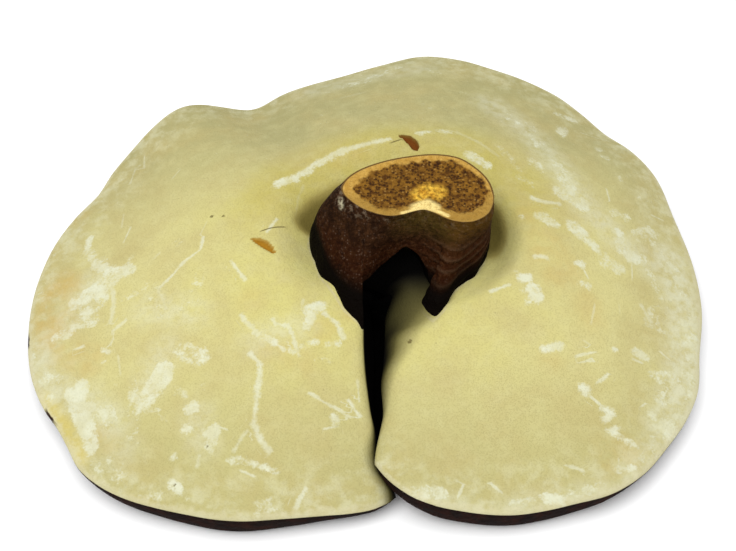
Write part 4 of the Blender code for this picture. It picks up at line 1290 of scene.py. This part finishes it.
def bark_ground(bench, right, below_cut):
    """Brown with olive below the notch, a warmer patch beside the arch, tan at the upper right, and redder
    feet darkened partly with painted shade.
    """
    tone = bench.blend(bench.blotches(4.0, detail=6.0), *BROWN_BARK)
    in_notch = bench.step(bench.size_of(bench.sum(right, -16.0)), 12.0, 4.0)
    olive = bench.blend(bench.blotches(2.2, edge=0.15, detail=5.0), *OLIVE_BARK)
    tone = bench.lay(tone, olive, bench.product(bench.step(below_cut, 11.0, 2.0), in_notch), 0.85)
    beside_arch = bench.product(bench.step(right, 15.0, 22.0), bench.step(below_cut, 5.0, 10.0))
    tone = bench.lay(tone, WARM_BARK, bench.product(bench.blotches(5.0, cover=0.55), beside_arch), 0.7)
    upper_right = bench.product(bench.step(right, 19.0, 26.0), bench.step(below_cut, 9.0, 2.0))
    tone = bench.lay(tone, TAN_BARK, upper_right, 0.65)
    # Redder towards the feet, and darker there partly as painted shade
    tone = bench.lay(tone, RED_SHADED_BARK, bench.step(below_cut, 6.0, 14.0), 0.62)
    tone = bench.lay(tone, LIGHT_GRAIN, bench.blotches(1.0, cover=0.42, edge=0.12, detail=5.0), 0.42)
    return bench.lay(tone, DARK_PITS, bench.blotches(1.9, cover=0.40, edge=0.10, detail=6.0), 0.60)


def bark_finish(effects):
    bench = FinishBench("stem_bark", effects, {"Roughness": 0.7, "Specular IOR Level": 0.02})
    right, below_cut = bench.axes()[0], bench.mark("below_cut")
    tone = bark_ground(bench, right, below_cut)
    # Greyish flecks, most of them at the upper left, and a frayed grey rim under the cut
    left = bench.step(right, 14.0, -8.0, 0.3, 1.0)
    dusty = bench.blotches(4.0, edge=0.15, detail=5.0)
    flecks = bench.product(bench.specks(0.8, breadth=0.42, share=0.45), dusty, left)
    tone = bench.lay(tone, GREY_FLECK, flecks, 0.5)
    frayed = bench.blotches(1.6, cover=0.42, edge=0.06, detail=5.0)
    frayed = bench.product(frayed, bench.step(below_cut, 5.0, 0.5), left)
    tone = bench.lay(tone, FRAYED_GREY, frayed, 0.55)
    tone = bench.lay(tone, RIDGE_TAN, bench.mark("ridged"), 0.4)
    scar = bench.product(bench.mark("scar"), bench.blotches(0.9, cover=0.55, edge=0.12))
    tone = bench.lay(tone, PALE_SCAR, scar)
    # Painted shade: black at the feet, higher up at the left, which faces away from the light, and inside
    # the hollow
    reach_up = bench.step(right, -15.5, -8.0, 4.5, 0.0)
    tone = bench.lay(tone, FOOT_SHADE_BLACK, bench.step(bench.sum(below_cut, reach_up), 15.0, 20.5))
    bench.feed("Base Color", bench.lay(tone, DEEP_SHADE_BLACK, bench.mark("hollowness")))
    relief = bench.product(bench.wrinkles(1.5, detail=5.0), 0.3)
    bench.bump(bench.sum(relief, bench.product(flecks, 0.05)))
    return bench.finish


def rim_depth(bench, right, back, from_bark):
    """Depth in from the bark as the pale rim counts it: the rim is widest at the cut's left end, and
    narrowest at the right, but not in front."""
    wander = bench.product(bench.wrinkles(2.4, detail=5.0), 0.9)
    wide_left = bench.step(right, -8.0, 4.0, -1.6, 0.0)
    narrow_right = bench.step(right, 12.0, 30.0, 0.0, 0.9)
    not_in_front = bench.step(back, -8.0, -14.0, 1.0, -1.5)
    return bench.sum(from_bark, wander, wide_left, bench.product(narrow_right, not_in_front))


def pith_colour(bench, holes):
    """Brown pith with dark holes and light crumbs in it, and mottled gilt where the flesh is golden."""
    tone = bench.blend(bench.blotches(1.5, edge=0.15, detail=6.0), *BROWN_PITH)
    tone = bench.lay(tone, SHADED_PITH, bench.blotches(6.0), 0.35)
    tone = bench.lay(tone, PITH_HOLE, holes, 0.8)
    tone = bench.lay(tone, PITH_CRUMB, bench.specks(1.0, breadth=0.42, share=0.35), 0.5)
    gilt = bench.blend(bench.blotches(2.2, detail=5.0), *GILT)
    gilt = bench.lay(gilt, GILT_HOLE, holes, 0.25)
    gold = bench.product(bench.mark("gold"), bench.blotches(1.5, cover=0.56, edge=0.30, detail=6.0))
    return bench.lay(tone, gilt, gold)


def cut_finish(effects):
    bench = FinishBench("stem_cut", effects, {"Roughness": 0.8, "Specular IOR Level": 0.1})
    from_bark, holes = bench.mark("from_bark"), bench.specks(0.8, breadth=0.6, share=0.5)
    right, back = bench.axes()
    front = bench.step(back, -5.0, -11.0)
    rim = bench.blend(bench.blotches(1.6, detail=4.0), *PALE_RIM)
    rim = bench.lay(rim, OUTER_RIM, bench.step(from_bark, 0.9, 0.2), 0.5)
    rim = bench.lay(rim, FRONT_RIM, front, 0.6)
    inside_rim = bench.step(rim_depth(bench, right, back, from_bark), 1.9, 3.1)
    tone = bench.lay(rim, pith_colour(bench, holes), inside_rim)
    cream = bench.product(bench.mark("cream"), bench.blotches(1.1, cover=0.66, edge=0.25, detail=6.0))
    tone = bench.lay(tone, CREAM, cream)
    skin = bench.step(bench.sum(from_bark, bench.product(front, 0.3)), 0.62, 0.38)
    bench.feed("Base Color", bench.lay(tone, SKIN_BROWN, skin, 0.85))
    relief = bench.product(bench.wrinkles(0.6, detail=4.0), 0.10)
    bench.bump(bench.sum(relief, bench.product(holes, -0.15)))
    return bench.finish


# ---- Studio ----

# The photograph's camera: what it looks at, from how far and how high, in millimetres and degrees
LOOK_AT = (0.31, -8.22, 15.0)
CAMERA_DISTANCE = 480.0
CAMERA_RISE = 50.0
# Its lens and the width of its sensor, and how near it still sees, in metres
LENS, SENSOR_WIDTH = 78.9, 36.0
NEAREST = 0.02
# Soft boxes in metres: (x, y, z, width, watts), each turned to the fungus
SOFT_BOXES = ((-0.25, -0.35, 1.15, 1.3, 14.6), (0.5, 0.25, 1.1, 1.0, 3.2))
LIT_POINT = (0, 0, 0.02)
ROOM_LIGHT = 0.57
FLOOR_REACH = 4.0


def turned_to(place, target):
    return (Vector(target) - Vector(place)).to_track_quat("-Z", "Y").to_euler()


def set_camera():
    rise = math.radians(CAMERA_RISE)
    target = Vector(LOOK_AT) * METRE
    camera = add("camera", bpy.data.cameras.new("camera"))
    camera.data.lens = LENS
    camera.data.sensor_width = SENSOR_WIDTH
    camera.data.sensor_fit = "HORIZONTAL"
    camera.data.clip_start = NEAREST
    camera.location = target + Vector((0, -math.cos(rise), math.sin(rise))) * CAMERA_DISTANCE * METRE
    camera.rotation_euler = turned_to(camera.location, target)
    bpy.context.scene.camera = camera


def light_studio():
    scene = bpy.context.scene
    scene.view_settings.view_transform = "Standard"
    scene.world = bpy.data.worlds.new("studio")
    scene.world.use_nodes = True
    backdrop = scene.world.node_tree.nodes["Background"]
    backdrop.inputs["Color"].default_value = WHITE
    backdrop.inputs["Strength"].default_value = ROOM_LIGHT
    for count, (x, y, z, width, watts) in enumerate(SOFT_BOXES):
        lamp = add(f"soft_box_{count}", bpy.data.lights.new(f"soft_box_{count}", "AREA"))
        lamp.data.shape = "DISK"
        lamp.data.size = width
        lamp.data.energy = watts
        lamp.location = (x, y, z)
        lamp.rotation_euler = turned_to(lamp.location, LIT_POINT)


def lay_floor():
    mesh = bpy.data.meshes.new("floor")
    corners = [(FLOOR_REACH * x, FLOOR_REACH * y, 0) for x, y in ((-1, -1), (1, -1), (1, 1), (-1, 1))]
    mesh.from_pydata(corners, [], [(0, 1, 2, 3)])
    mesh.materials.append(new_finish("pale_floor", {"Base Color": FLOOR_WHITE, "Roughness": 0.9})[0])
    floor = add("floor", mesh)


# ---- Assembly ----

effects = {"blotches": blotches_group(), "specks": specks_group(), "wrinkles": wrinkles_group()}
cap = make_cap(pore_face_finish(effects), crust_finish(effects))
stem = make_stem(bark_finish(effects), cut_finish(effects))
for made, node in ((cap, "cap"), (stem, "stem")):
    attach(made, "root")
    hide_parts(node)
set_camera()
light_studio()
lay_floor()
